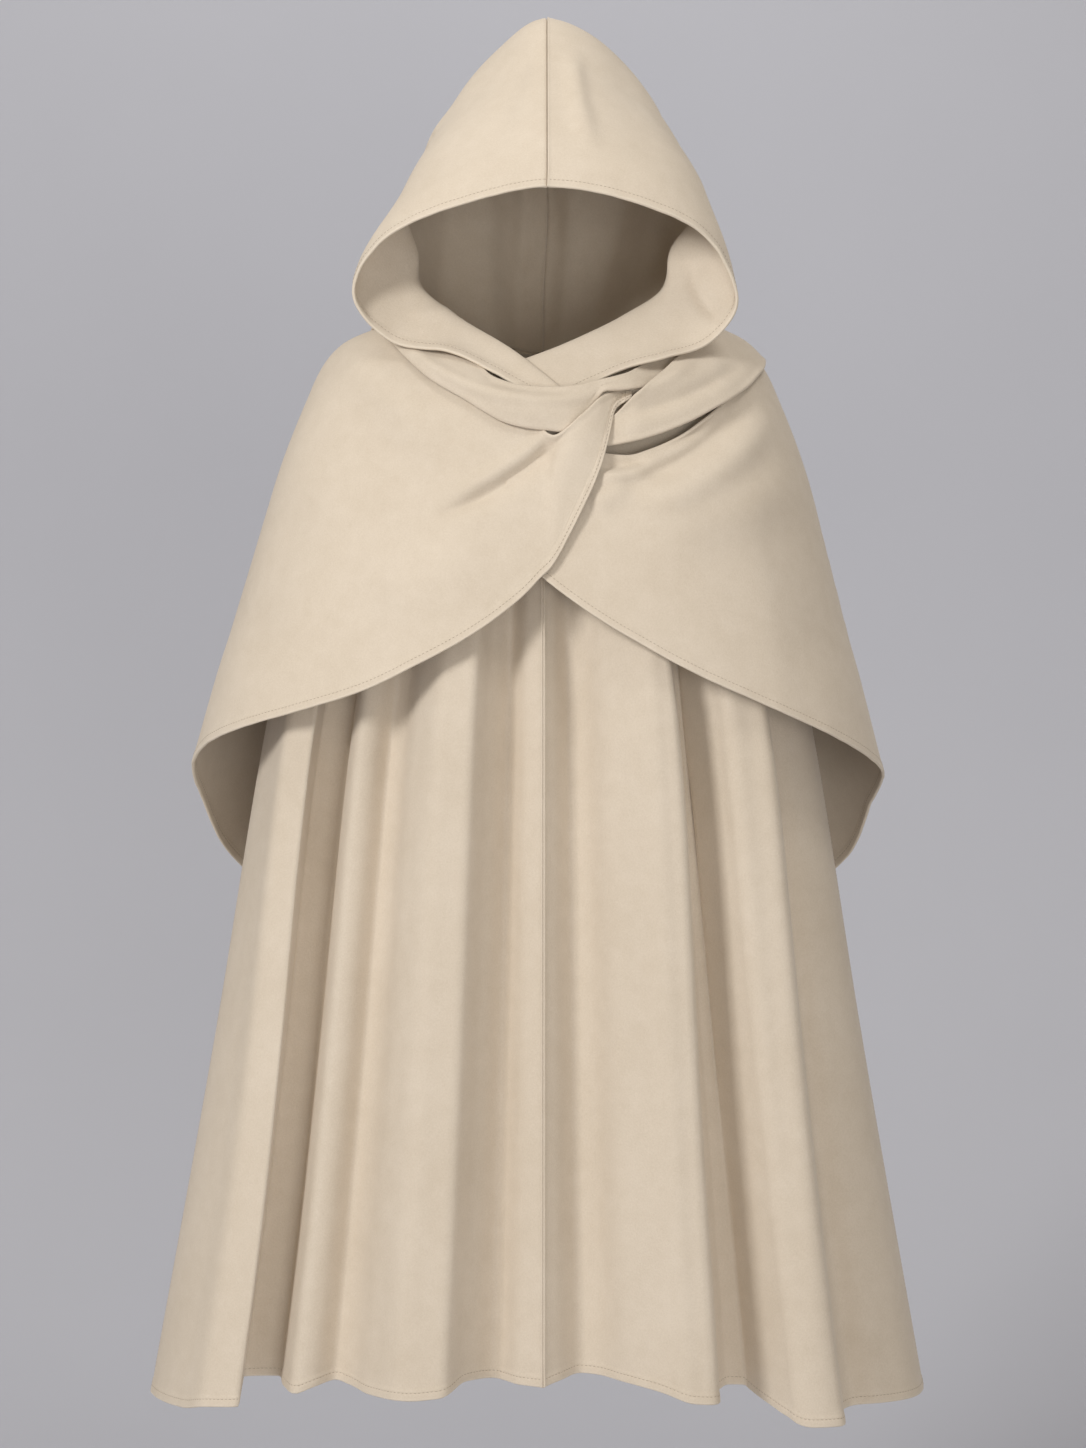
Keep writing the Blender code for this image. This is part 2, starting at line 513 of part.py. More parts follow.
# The two scarf bands, one row per place along the band from the back of the neck to the
# crossing. Puff is how far the middle stands out beyond its edges.
BAND_LEFT = (
    {"up_angle": 94, "up": 1, "up_lift": 5, "low_angle": 94, "low": -24, "low_lift": 5, "puff": 3},
    {"up_angle": 118, "up": 12, "up_lift": 5, "low_angle": 118, "low": -12, "low_lift": 5, "puff": 3},
    {"up_angle": 140, "up": 27, "up_lift": 5, "low_angle": 142, "low": 6, "low_lift": 5, "puff": 3},
    {"up_angle": 160, "up": 35, "up_lift": 5, "low_angle": 162, "low": 22, "low_lift": 5, "puff": 3},
    {"up_angle": 180, "up": 38, "up_lift": 5, "low_angle": 182, "low": 27, "low_lift": 5, "puff": 2},
    {"up_angle": 202, "up": 33, "up_lift": 5, "low_angle": 204, "low": 24, "low_lift": 5, "puff": 2},
    {"up_angle": 220, "up": 20, "up_lift": 5, "low_angle": 224, "low": 9, "low_lift": 5, "puff": 2},
    {"up_angle": 233, "up": 6, "up_lift": 5.5, "low_angle": 236, "low": -15, "low_lift": 6, "puff": 3},
    {"up_angle": 243, "up": -5, "up_lift": 6, "low_angle": 246, "low": -42, "low_lift": 7.5, "puff": 6},
    {"up_angle": 251, "up": -10, "up_lift": 6.5,
     "low_angle": 254.5, "low": -62, "low_lift": 9.5, "puff": 8},
    {"up_angle": 256, "up": -21, "up_lift": 8, "low_angle": 259.5, "low": -76, "low_lift": 10, "puff": 8},
    {"up_angle": 259.5, "up": -36.5, "up_lift": 11,
     "low_angle": 263.3, "low": -86, "low_lift": 10, "puff": 8},
    {"up_angle": 262.5, "up": -43.5, "up_lift": 14,
     "low_angle": 266.5, "low": -91, "low_lift": 10, "puff": 7.5},
    {"up_angle": 267, "up": -49.5, "up_lift": 15.5,
     "low_angle": 270.3, "low": -94.5, "low_lift": 10, "puff": 7},
    {"up_angle": 272, "up": -50.5, "up_lift": 15.5,
     "low_angle": 273.6, "low": -97, "low_lift": 9.5, "puff": 4},
    {"up_angle": 276.5, "up": -48, "up_lift": 15,
     "low_angle": 276.8, "low": -83, "low_lift": 9, "puff": 2},
    {"up_angle": 280, "up": -43.5, "up_lift": 14.5,
     "low_angle": 279.8, "low": -64, "low_lift": 9.5, "puff": 1},
    {"up_angle": 283, "up": -40.5, "up_lift": 14,
     "low_angle": 282, "low": -54.4, "low_lift": 13.5, "puff": 1.5},
    {"up_angle": 286, "up": -37, "up_lift": 13,
     "low_angle": 284.6, "low": -54, "low_lift": 12.5, "puff": 2},
    {"up_angle": 288.5, "up": -33, "up_lift": 10.5,
     "low_angle": 287.4, "low": -52.5, "low_lift": 11.5, "puff": 2},
    {"up_angle": 291.5, "up": -26, "up_lift": 8,
     "low_angle": 290.4, "low": -51, "low_lift": 9, "puff": 1},
    {"up_angle": 296, "up": -17, "up_lift": 5.5,
     "low_angle": 295, "low": -46, "low_lift": 5.5, "puff": 0},
    {"up_angle": 304, "up": -8, "up_lift": 5, "low_angle": 303, "low": -42, "low_lift": 5, "puff": 0},
)
BAND_RIGHT = (
    {"up_angle": 86, "up": 1, "up_lift": 5, "low_angle": 86, "low": -36, "low_lift": 5, "puff": 3},
    {"up_angle": 64, "up": 10, "up_lift": 5, "low_angle": 62, "low": -32, "low_lift": 5, "puff": 4},
    {"up_angle": 42, "up": 27, "up_lift": 5, "low_angle": 40, "low": -22, "low_lift": 5, "puff": 4},
    {"up_angle": 20, "up": 34, "up_lift": 4.5, "low_angle": 18, "low": -14, "low_lift": 6.5, "puff": 1},
    {"up_angle": 0, "up": 37, "up_lift": 4.5, "low_angle": -2, "low": -10, "low_lift": 5.5, "puff": 0},
    {"up_angle": -20, "up": 30, "up_lift": 4.5, "low_angle": -22, "low": -26, "low_lift": 6, "puff": 0},
    {"up_angle": -36, "up": 14, "up_lift": 5, "low_angle": -36, "low": -46, "low_lift": 8, "puff": 2},
    {"up_angle": -48, "up": 1, "up_lift": 7, "low_angle": -49, "low": -66, "low_lift": 11, "puff": 5},
    {"up_angle": -57, "up": -14, "up_lift": 11, "low_angle": -59, "low": -84, "low_lift": 11, "puff": 5},
    {"up_angle": -63.5, "up": -33, "up_lift": 13.5,
     "low_angle": -67, "low": -97, "low_lift": 10.5, "puff": 4},
    {"up_angle": -70.4, "up": -55, "up_lift": 15,
     "low_angle": -72.5, "low": -104.5, "low_lift": 9, "puff": 3},
    {"up_angle": -72.6, "up": -62, "up_lift": 13.5,
     "low_angle": -75, "low": -107, "low_lift": 7.5, "puff": 2},
    {"up_angle": -74.4, "up": -68.5, "up_lift": 12,
     "low_angle": -77, "low": -109, "low_lift": 5.5, "puff": 1},
    {"up_angle": -75.9, "up": -75.5, "up_lift": 9.5,
     "low_angle": -78.8, "low": -110, "low_lift": 5, "puff": 0.5},
    {"up_angle": -78, "up": -84, "up_lift": 5.5,
     "low_angle": -80.8, "low": -110, "low_lift": 5, "puff": 0},
    {"up_angle": -80, "up": -88, "up_lift": 5, "low_angle": -83, "low": -110, "low_lift": 5, "puff": 0},
)


def band_grid(table, rows, widest):
    walk = turning_walk(table, "up_angle", widest)
    places = np.arange(len(table))
    take = {key: curve(places, column(table, key), walk) for key in table[0]}
    share = np.linspace(0.0, 1.0, rows)[:, None]
    height = take["up"] + (take["low"] - take["up"]) * share
    angle = take["up_angle"] + (take["low_angle"] - take["up_angle"]) * share
    lift = take["up_lift"] + (take["low_lift"] - take["up_lift"]) * share
    lift = lift + take["puff"] * 4 * share * (1 - share)
    return narrowed(standing_off(CAPE_RINGS, angle, height, lift))


# Hood lines from the crown seam down to the cheek, one row per line from the front hem to the
# seam at the back. Each place is X outwards from the middle, Y and height.
HOOD_CROWN = (
    {"line": "hem", "top": (0, -170, 146), "brow": (95, -161, 128), "temple": (163, -138, 98)},
    {"line": "brim", "top": (0, -158, 172), "brow": (101, -143, 158), "temple": (169, -112, 116)},
    {"line": "roll", "top": (0, -128, 215), "brow": (102, -100, 198), "temple": (156, -80, 148)},
    {"line": "throat", "top": (0, -98, 247), "brow": (96, -68, 226), "temple": (150, -52, 168)},
    {"line": "side", "top": (0, -60, 286), "brow": (87, -30, 256), "temple": (141, -20, 190)},
    {"line": "crown", "top": (0, 10, 349), "brow": (72, 32, 307), "temple": (123, 44, 226)},
    {"line": "rear", "top": (0, 100, 318), "brow": (58, 96, 282), "temple": (98, 98, 214)},
    {"line": "back", "top": (0, 150, 190), "brow": (0, 150, 160), "temple": (0, 146, 130)},
)
# The lower parts of the lines behind the lips.
HOOD_SIDES = (
    {"cheek": (140, -50, 104), "jaw": (122, -55, 57), "chin": (105, -66, 37)},
    {"cheek": (150, -18, 118), "jaw": (130, -20, 74), "chin": (118, -26, 52)},
    {"cheek": (146, 42, 140), "jaw": (132, 40, 88), "chin": (118, 34, 54)},
    {"cheek": (108, 96, 146), "jaw": (98, 92, 92), "chin": (84, 84, 52)},
    {"cheek": (0, 139, 100), "jaw": (0, 130, 70), "chin": (0, 118, 40)},
)
# Where these lines end on the neck line, and how far they stand off it there.
HOOD_FEET = {
    -1: (
        {"angle": 277, "lift": 6},
        {"angle": 325, "lift": 0},
        {"angle": 367, "lift": 0},
        {"angle": 408, "lift": 0},
        {"angle": 450, "lift": 0},
    ),
    1: (
        {"angle": 289, "lift": 0},
        {"angle": 325, "lift": 0},
        {"angle": 367, "lift": 0},
        {"angle": 408, "lift": 0},
        {"angle": 450, "lift": 0},
    ),
}
# The lips that cross at the front: X outwards, how far the cloth stands in front of the
# cape's form, and height. The lip at -X lies over the other.
HOOD_LIPS = {
    -1: (
        {"cheek": (191, -113, 45), "jaw": (153, -102, 0), "chin": (93, 26, -13),
         "collar": (47, 16, -36.5), "end": (-8, 9.5, -70)},
        {"cheek": (184, -97, 55), "jaw": (143, -94, 15), "chin": (88, 22, 2),
         "collar": (42, 15, -26), "end": (-14, 10, -61)},
        {"cheek": (133, -72, 90), "jaw": (127, -78, 57), "chin": (80, 28, 21),
         "collar": (28, 18, -13), "end": (-24, 11.5, -56)},
    ),
    1: (
        {"cheek": (196, -113, 42), "jaw": (169, -106, -1), "chin": (118, 26, -20),
         "collar": (76, 14.5, -33), "end": (-4, 5.5, -74)},
        {"cheek": (187, -97, 57), "jaw": (153, -97, 13), "chin": (102, 22, -5),
         "collar": (60, 11, -22), "end": (-14, 5.5, -46)},
        {"cheek": (130, -72, 96), "jaw": (127, -82, 56), "chin": (80, 28, 25),
         "collar": (24, 12, -3), "end": (-24, 6.5, -22)},
    ),
}


def bend(values, walk, before=None, after=None):
    """Soft curve through evenly numbered places, with places beyond its ends if given."""
    values = np.asarray(values, float)
    before = 2 * values[:1] - values[1:2] if before is None else before[None]
    after = 2 * values[-1:] - values[-2:-1] if after is None else after[None]
    padded = np.concatenate([before, values, after])
    last = len(values) - 1
    cell = np.clip(np.floor(walk).astype(int), 0, last - 1)
    t = (np.asarray(walk) - cell).reshape((-1,) + (1,) * (values.ndim - 1))
    p, q, r, s = (padded[cell + k] for k in range(4))
    return q + t / 2 * (r - p + t * (2 * p - 5 * q + 4 * r - s + t * (3 * q - p - 3 * r + s)))


def front_face(x, height):
    """Depth of the cape's form at a place on its front."""
    wide, front, _ = ring_sizes(CAPE_RINGS, height)
    share = np.minimum(np.abs(x) / wide, 1.0)
    return -front * (1 - share**ROUNDNESS) ** (1 / ROUNDNESS)


def hood_foot(angle, lift):
    """A place just above the cape's neck edge."""
    height = neck_height(CAPE_RINGS, HOOD_NECK, angle)
    foot = standing_off(CAPE_RINGS, angle, height, lift)
    foot[..., 2] += HOOD_NECK_RISE
    return foot


def hood_places(side):
    """Places of every hood line, from the crown seam to the neck."""
    lines = []
    for number, row in enumerate(HOOD_CROWN):
        places = [row["top"], row["brow"], row["temple"]]
        if number < len(HOOD_LIPS[side]):
            lip = HOOD_LIPS[side][number]
            places += [lip["cheek"], lip["jaw"]]
            for key in ("chin", "collar", "end"):
                x, stand, height = lip[key]
                places.append((x, front_face(np.array(x), np.array(height)) - stand, height))
        else:
            lower = HOOD_SIDES[number - len(HOOD_LIPS[side])]
            row = HOOD_FEET[side][number - len(HOOD_LIPS[side])]
            foot = hood_foot(np.array(float(row["angle"])), np.array(float(row["lift"])))
            chin = np.array(lower["chin"], float)
            places += [lower["cheek"], lower["jaw"], tuple(chin), tuple((chin + foot) / 2), tuple(foot)]
        lines.append(places)
    return np.array(lines, float)


def hood_grid(side, extra_down, extra_along):
    lines = hood_places(side)
    other_half = np.array([-1.0, 1.0, 1.0])
    along = bend(lines, station_walk(lines.shape[0], extra_along), after=lines[-2] * other_half)
    down = np.swapaxes(along, 0, 1)
    grid = bend(down, station_walk(lines.shape[1], extra_down), before=down[1] * other_half)
    first = len(HOOD_LIPS[side])
    spots = station_walk(lines.shape[0], extra_along) - first
    behind = np.where(spots >= 0)[0]
    numbers = np.arange(len(HOOD_SIDES))
    angle = curve(numbers, column(HOOD_FEET[side], "angle"), spots[behind])
    foot = hood_foot(angle, curve(numbers, column(HOOD_FEET[side], "lift"), spots[behind]))
    for row, share in enumerate(np.linspace(1.0, 0.0, extra_down + 1)[:-1]):
        grid[-1 - row, behind] += (foot - grid[-1, behind]) * share
    grid[..., 0] *= side
    return grid


def build():
    half_gap = SEAM_GAP / 2
    for name, side in (("hood_left", -1), ("hood_right", 1)):
        middle = side * half_gap
        seams = (("first_row", 0, middle), ("last_col", 0, middle))
        cloth_wall(name, hood_grid(side, 2, 2), seams, HOOD_LEAN)
    left = cape_grid("cape_left", CAPE_LEFT, 13, 11.0)
    cloth_wall("cape_left", left, (("first_col", 0, -half_gap),))
    right = cape_grid("cape_right", CAPE_RIGHT, 13, 11.0)
    cloth_wall("cape_right", right, (("last_col", 0, half_gap),))
    cloth_wall("band_left", band_grid(BAND_LEFT, 5, 12.0))
    cloth_wall("band_right", band_grid(BAND_RIGHT, 5, 12.0))
    front_left = body_grid(BODY_LEFT_FOLDS, -1, 0.045, 11)
    cloth_wall("body_front_left", front_left, (("first_col", 1, -half_gap), ("last_col", 0, -half_gap)))
    front_right = body_grid(BODY_RIGHT_FOLDS, -1, 0.045, 11)
    cloth_wall("body_front_right", front_right, (("first_col", 0, half_gap), ("last_col", 1, -half_gap)))
    back = body_grid(BODY_BACK_FOLDS, 1, 0.07, 10)
    cloth_wall("body_back", back, (("first_col", 1, half_gap), ("last_col", 1, half_gap)))


build()
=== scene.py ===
"""Dresses the hooded cloak: its felted cloth, creases, turned hems and topstitching, and the studio."""

import bmesh
import bpy
import numpy as np
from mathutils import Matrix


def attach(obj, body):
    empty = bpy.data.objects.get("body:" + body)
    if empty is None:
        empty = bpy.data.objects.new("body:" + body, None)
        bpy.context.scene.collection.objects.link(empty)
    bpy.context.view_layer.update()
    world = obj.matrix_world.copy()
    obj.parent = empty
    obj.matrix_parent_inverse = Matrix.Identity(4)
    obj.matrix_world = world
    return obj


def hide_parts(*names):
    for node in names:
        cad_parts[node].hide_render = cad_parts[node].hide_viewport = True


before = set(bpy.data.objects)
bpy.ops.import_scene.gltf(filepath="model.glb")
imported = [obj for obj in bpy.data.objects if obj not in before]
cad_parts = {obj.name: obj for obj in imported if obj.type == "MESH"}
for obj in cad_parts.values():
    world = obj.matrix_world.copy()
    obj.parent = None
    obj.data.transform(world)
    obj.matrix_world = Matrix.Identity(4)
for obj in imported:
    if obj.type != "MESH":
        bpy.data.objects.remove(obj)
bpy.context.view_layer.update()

bl_info = {
    "name": "Hooded cloak",
    "version": (1, 0, 0),
    "blender": (4, 5, 0),
    "location": "View3D > Sidebar > Cloak",
    "description": "Makes the cloth pieces of a hooded cloak and the studio they are pictured in",
    "category": "Object",
}

BODY = "root"
# Sizes are in millimetres, +Z up, the front faces -Y, and the origin is the base of the neck.
MM = 0.001
SEAM_GAP = 0.02
ROUNDNESS = 2.25


def table(columns, *rows):
    """A table as one dictionary a row, with the columns named once. A row may leave out its last columns."""
    names = columns.split()
    return tuple(dict(zip(names, row)) for row in rows)


# Half width, front depth and back depth of the cape at each height.
CAPE_RINGS = table(
    "height half_width front back",
    (60, 60, 30, 56),
    (40, 118, 50, 80),
    (24, 170, 70, 96),
    (5, 209, 90, 110),
    (-20, 230, 113, 124),
    (-53, 245, 138, 138),
    (-112, 268, 158, 158),
    (-236, 306, 190, 192),
    (-434, 362, 225, 236),
    (-660, 415, 250, 275),
)

# The same for the long body under the cape.
BODY_RINGS = table(
    "height half_width front back",
    (60, 60, 28, 50),
    (26, 112, 50, 70),
    (12, 160, 64, 86),
    (-8, 196, 82, 97),
    (-32, 213, 102, 110),
    (-64, 224, 124, 124),
    (-120, 232, 142, 144),
    (-236, 254, 158, 166),
    (-387, 286, 164, 182),
    (-700, 338, 166, 194),
    (-1110, 412, 168, 204),
)

# The oval neck line of the cape and of the hood.
CAPE_NECK = {"half_width": 118.0, "front": 112.0, "back": 106.0}
HOOD_NECK = {"half_width": 117.3, "front": 111.3, "back": 105.3}
HOOD_NECK_RISE = -1.6
# The hood stands slightly off the middle towards +X.
HOOD_LEAN = {"by": 11.5, "seam_by": 4.5, "seam_reach": 60.0, "from_height": 60.0, "to_height": 170.0}
# The body hangs from the neck line under the cape, first close to it and then further in.
BODY_UNDER_CAPE = {"at_neck": 2.8, "further": 7.7, "over": 36.0}
BODY_FREE = {"from_height": -45.0, "to_height": -130.0}


def slopes(stations, values):
    """Slopes of a smooth curve that doesn't overshoot its stations."""
    step = np.diff(stations)[:, None]
    rise = np.diff(values, axis=0) / step
    out = np.zeros_like(values)
    before, after = rise[:-1], rise[1:]
    weight_a = 2 * step[1:] + step[:-1]
    weight_b = step[1:] + 2 * step[:-1]
    same = before * after > 0
    safe_before = np.where(same, before, 1.0)
    safe_after = np.where(same, after, 1.0)
    mean = (weight_a + weight_b) / (weight_a / safe_before + weight_b / safe_after)
    out[1:-1] = np.where(same, mean, 0.0)
    out[0], out[-1] = rise[0], rise[-1]
    return out


def curve(stations, values, at):
    """Smooth value or values at each place, through the stations."""
    stations = np.asarray(stations, float)
    values = np.asarray(values, float)
    flat = values.ndim == 1
    if flat:
        values = values[:, None]
    slope = slopes(stations, values)
    at = np.asarray(at, float)
    cell = np.clip(np.searchsorted(stations, at) - 1, 0, len(stations) - 2)
    width = stations[cell + 1] - stations[cell]
    t = ((at - stations[cell]) / width)[..., None]
    width = width[..., None]
    result = (
        (2 * t**3 - 3 * t**2 + 1) * values[cell]
        + (t**3 - 2 * t**2 + t) * width * slope[cell]
        + (3 * t**2 - 2 * t**3) * values[cell + 1]
        + (t**3 - t**2) * width * slope[cell + 1]
    )
    return result[..., 0] if flat else result


def column(table, name):
    return np.array([row[name] for row in table], float)


def ease(low, high, at):
    t = np.clip((np.asarray(at, float) - low) / (high - low), 0.0, 1.0)
    return t * t * (3 - 2 * t)


def ring_sizes(rings, height):
    heights = column(rings, "height")[::-1]
    names = ("half_width", "front", "back")
    sizes = np.stack([column(rings, name)[::-1] for name in names], axis=1)
    found = curve(heights, sizes, height)
    return found[..., 0], found[..., 1], found[..., 2]


def ring_point(rings, angle, height):
    """A place on the garment's form: 180 is the side at -X, 270 the front, 90 the back."""
    turn = np.radians(angle)
    wide, front, back = ring_sizes(rings, height)
    across, along = np.cos(turn), np.sin(turn)
    depth = np.where(along < 0, front, back)
    power = 2.0 / ROUNDNESS
    x = wide * np.sign(across) * np.abs(across) ** power
    y = depth * np.sign(along) * np.abs(along) ** power
    return np.stack([x, y, height + 0.0 * x], axis=-1)


def ring_normal(rings, angle, height):
    point = ring_point(rings, angle, height)
    wide, front, back = ring_sizes(rings, height)
    small = 0.5
    wide_up, front_up, back_up = ring_sizes(rings, height + small)
    wide_down, front_down, back_down = ring_sizes(rings, height - small)
    at_front = point[..., 1] < 0
    depth = np.where(at_front, front, back)
    depth_rise = np.where(at_front, front_up - front_down, back_up - back_down) / (2 * small)
    wide_rise = (wide_up - wide_down) / (2 * small)
    share_x = np.abs(point[..., 0]) / wide
    share_y = np.abs(point[..., 1]) / depth
    nx = np.sign(point[..., 0]) * share_x ** (ROUNDNESS - 1) / wide
    ny = np.sign(point[..., 1]) * share_y ** (ROUNDNESS - 1) / depth
    nz = -(share_x**ROUNDNESS * wide_rise / wide + share_y**ROUNDNESS * depth_rise / depth)
    normal = np.stack([nx, ny, nz], axis=-1)
    return normal / np.linalg.norm(normal, axis=-1, keepdims=True)


def lifted(rings, angle, height, lift):
    return ring_point(rings, angle, height) + ring_normal(rings, angle, height) * lift[..., None]


def standing_off(rings, angle, height, lift):
    """As lifted, for a place that ends up at the height given."""
    base = height
    for _ in range(4):
        base = height - ring_normal(rings, angle, base)[..., 2] * lift
    return lifted(rings, angle, base, lift)


def neck_height(rings, neck, angle):
    """Height at which the form passes through an upright oval, at each angle."""
    high = np.full(np.shape(angle), column(rings, "height").max() - 1.0)
    low = np.full(np.shape(angle), -100.0)
    for _ in range(40):
        middle = (high + low) / 2
        point = ring_point(rings, angle, middle)
        depth = np.where(point[..., 1] < 0, neck["front"], neck["back"])
        outside = (point[..., 0] / neck["half_width"]) ** 2 + (point[..., 1] / depth) ** 2 > 1
        low = np.where(outside, middle, low)
        high = np.where(outside, high, middle)
    return (high + low) / 2


def fall_length(rings, height):
    """Length of cloth from the top of the form down to a height, at the sides."""
    levels = np.arange(60.0, -1200.0, -2.0)
    wide, _, _ = ring_sizes(rings, levels)
    run = np.concatenate([[0.0], np.cumsum(np.hypot(np.diff(wide), np.diff(levels)))])
    return levels, run, np.interp(-np.asarray(height, float), -levels, run)


def spread_rows(rings, top, bottom, share):
    """Heights that part the cloth evenly between its top and its hem."""
    levels, run, start = fall_length(rings, top)
    _, _, end = fall_length(rings, bottom)
    return np.interp(start + (end - start) * share, run, levels)


EDGES = {
    "first_row": (0, slice(None)),
    "last_row": (-1, slice(None)),
    "first_col": (slice(None), 0),
    "last_col": (slice(None), -1),
}


# Folds of the long body. Across is the share of the half width, out is how far the cloth
# stands forward of the form at the hem, hem is the height of the hem there, and lean is what
# is added to across where the fold leaves the cape.
BODY_LEFT_FOLDS = table(
    "across out hem lean",
    (-1.0, 0, -1075.5, 0),
    (-0.95, 6, -1076, 0),
    (-0.87, 20, -1075, -0.015),
    (-0.80, 37, -1068, -0.025),
    (-0.762, 42, -1065, -0.03),
    (-0.735, -26, -1046, -0.03),
    (-0.700, -38, -1046, -0.025),
    (-0.650, -6, -1050, -0.02),
    (-0.605, 13, -1053, -0.01),
    (-0.575, 7, -1048, -0.01),
    (-0.530, -19, -1043, -0.01),
    (-0.490, -13, -1046, 0),
    (-0.420, 13, -1051, 0),
    (-0.320, 36, -1052, 0),
    (-0.255, 36, -1049, 0),
    (-0.185, -4, -1038, 0),
    (-0.125, -25, -1039, 0),
    (-0.055, 2, -1041, 0),
    (0.0, 11, -1042, 0),
)
BODY_RIGHT_FOLDS = table(
    "across out hem lean",
    (0.0, 11, -1042, 0),
    (0.035, 0, -1038, 0),
    (0.095, -25, -1034, 0),
    (0.145, -19, -1035, 0),
    (0.220, 6, -1039, 0),
    (0.300, 25, -1046, 0.01),
    (0.370, 38, -1055, 0.02),
    (0.408, 36, -1056, 0.02),
    (0.445, -8, -1054, 0.02),
    (0.490, -34, -1050, 0.01),
    (0.555, -34, -1052, 0),
    (0.592, 17, -1074, 0),
    (0.650, 38, -1083, 0),
    (0.705, 40, -1083, 0.015),
    (0.760, 2, -1078, 0.02),
    (0.810, -15, -1076, 0.015),
    (0.870, -2, -1074, 0.01),
    (0.950, 3, -1074, 0),
    (1.0, 0, -1073, 0),
)
BODY_BACK_FOLDS = table(
    "across out hem lean",
    (1.0, 0, -1073, 0),
    (0.93, 4, -1075, 0),
    (0.80, 18, -1078, 0),
    (0.66, -16, -1072, 0),
    (0.46, 20, -1079, 0),
    (0.27, -14, -1073, 0),
    (0.02, 20, -1080, 0),
    (-0.24, -15, -1073, 0),
    (-0.45, 18, -1079, 0),
    (-0.65, -16, -1072, 0),
    (-0.80, 16, -1078, 0),
    (-0.93, 4, -1076, 0),
    (-1.0, 0, -1075.5, 0),
)
# How much of each body fold shows at a height.
FOLD_GROWTH = table(
    "height share",
    (-1110, 1.0),
    (-700, 0.86),
    (-387, 0.84),
    (-257, 0.60),
    (-140, 0.0),
    (60, 0.0),
)
FOLD_LEAN = {"from_height": -100.0, "full_height": -280.0, "still_height": -400.0, "to_height": -950.0}
# Where a fold laps over the valley next to it: lap is how far its edge is pushed over, in
# millimetres, and reach is the share of the half width that this takes.
LAP_COLUMNS = "across reach lap"
FOLD_LAPS = {
    "body_front_left": table(
        LAP_COLUMNS,
        (-0.748, 0.018, 24.0),
        (-0.220, 0.030, 3.0),
    ),
    "body_front_right": table(
        LAP_COLUMNS,
        (0.430, 0.020, 5.0),
        (0.577, 0.016, -6.0),
        (0.740, 0.025, 3.0),
    ),
}
RIGHT_NARROWING = {"share": 0.028, "from_height": -60.0, "to_height": -420.0}


def angle_of(across, side):
    """Angle on the form whose width share is the one given; side is -1 at the front."""
    turn = np.degrees(np.arccos(np.sign(across) * np.abs(across) ** (ROUNDNESS / 2)))
    return 360.0 - turn if side < 0 else turn


def narrowed(points):
    """The side at +X is slightly slimmer than the other."""
    share = RIGHT_NARROWING["share"] * ease(
        -RIGHT_NARROWING["from_height"], -RIGHT_NARROWING["to_height"], -points[..., 2]
    )
    right = ease(0.0, 150.0, points[..., 0])
    points[..., 0] *= 1.0 - share * right
    return points


def fold_places(folds, step):
    """Places across a body panel, close enough together to carry its folds."""
    edges = column(folds, "across")
    places = [edges[0]]
    for start, end in zip(edges[:-1], edges[1:]):
        count = max(1, int(np.ceil(abs(end - start) / step)))
        places += list(start + (end - start) * np.arange(1, count + 1) / count)
    return np.array(places)


def body_grid(node, folds, side, step, rows):
    places = fold_places(folds, step)
    order = np.argsort(column(folds, "across"))
    stations = column(folds, "across")[order]
    out = curve(stations, column(folds, "out")[order], places)
    hem = curve(stations, column(folds, "hem")[order], places)
    angle = angle_of(places, side)
    top = neck_height(CAPE_RINGS, CAPE_NECK, angle)
    share = np.linspace(0.0, 1.0, rows)[:, None]
    height = spread_rows(BODY_RINGS, top[None, :], hem[None, :], share)
    lean = curve(stations, column(folds, "lean")[order], places)
    leaning_share = ease(-FOLD_LEAN["from_height"], -FOLD_LEAN["full_height"], -height)
    leaning_share = leaning_share * (1 - ease(-FOLD_LEAN["still_height"], -FOLD_LEAN["to_height"], -height))
    angles = angle_of(np.clip(places[None, :] + lean[None, :] * leaning_share, -1.0, 1.0), side)
    growth_heights = column(FOLD_GROWTH, "height")
    growth = curve(growth_heights, column(FOLD_GROWTH, "share"), height)
    inward = BODY_UNDER_CAPE["at_neck"] + BODY_UNDER_CAPE["further"] * ease(
        0.0, BODY_UNDER_CAPE["over"], top[None, :] - height
    )
    under = lifted(CAPE_RINGS, angles, height, -inward)
    free = ease(-BODY_FREE["from_height"], -BODY_FREE["to_height"], -height)[..., None]
    points = under * (1.0 - free) + ring_point(BODY_RINGS, angles, height) * free
    normal = ring_normal(BODY_RINGS, angles, height)
    level = normal.copy()
    level[..., 2] = 0.0
    level /= np.linalg.norm(level, axis=-1, keepdims=True)
    points = points + level * (growth * out[None, :])[..., None]
    shift = np.zeros_like(places)
    for row in FOLD_LAPS.get(node, ()):
        before = np.exp(-(((places - row["across"] + row["reach"]) / row["reach"]) ** 2))
        after = np.exp(-(((places - row["across"] - row["reach"]) / row["reach"]) ** 2))
        shift += row["lap"] * (before - after)
    points[..., 0] += growth * shift[None, :]
    return narrowed(points)


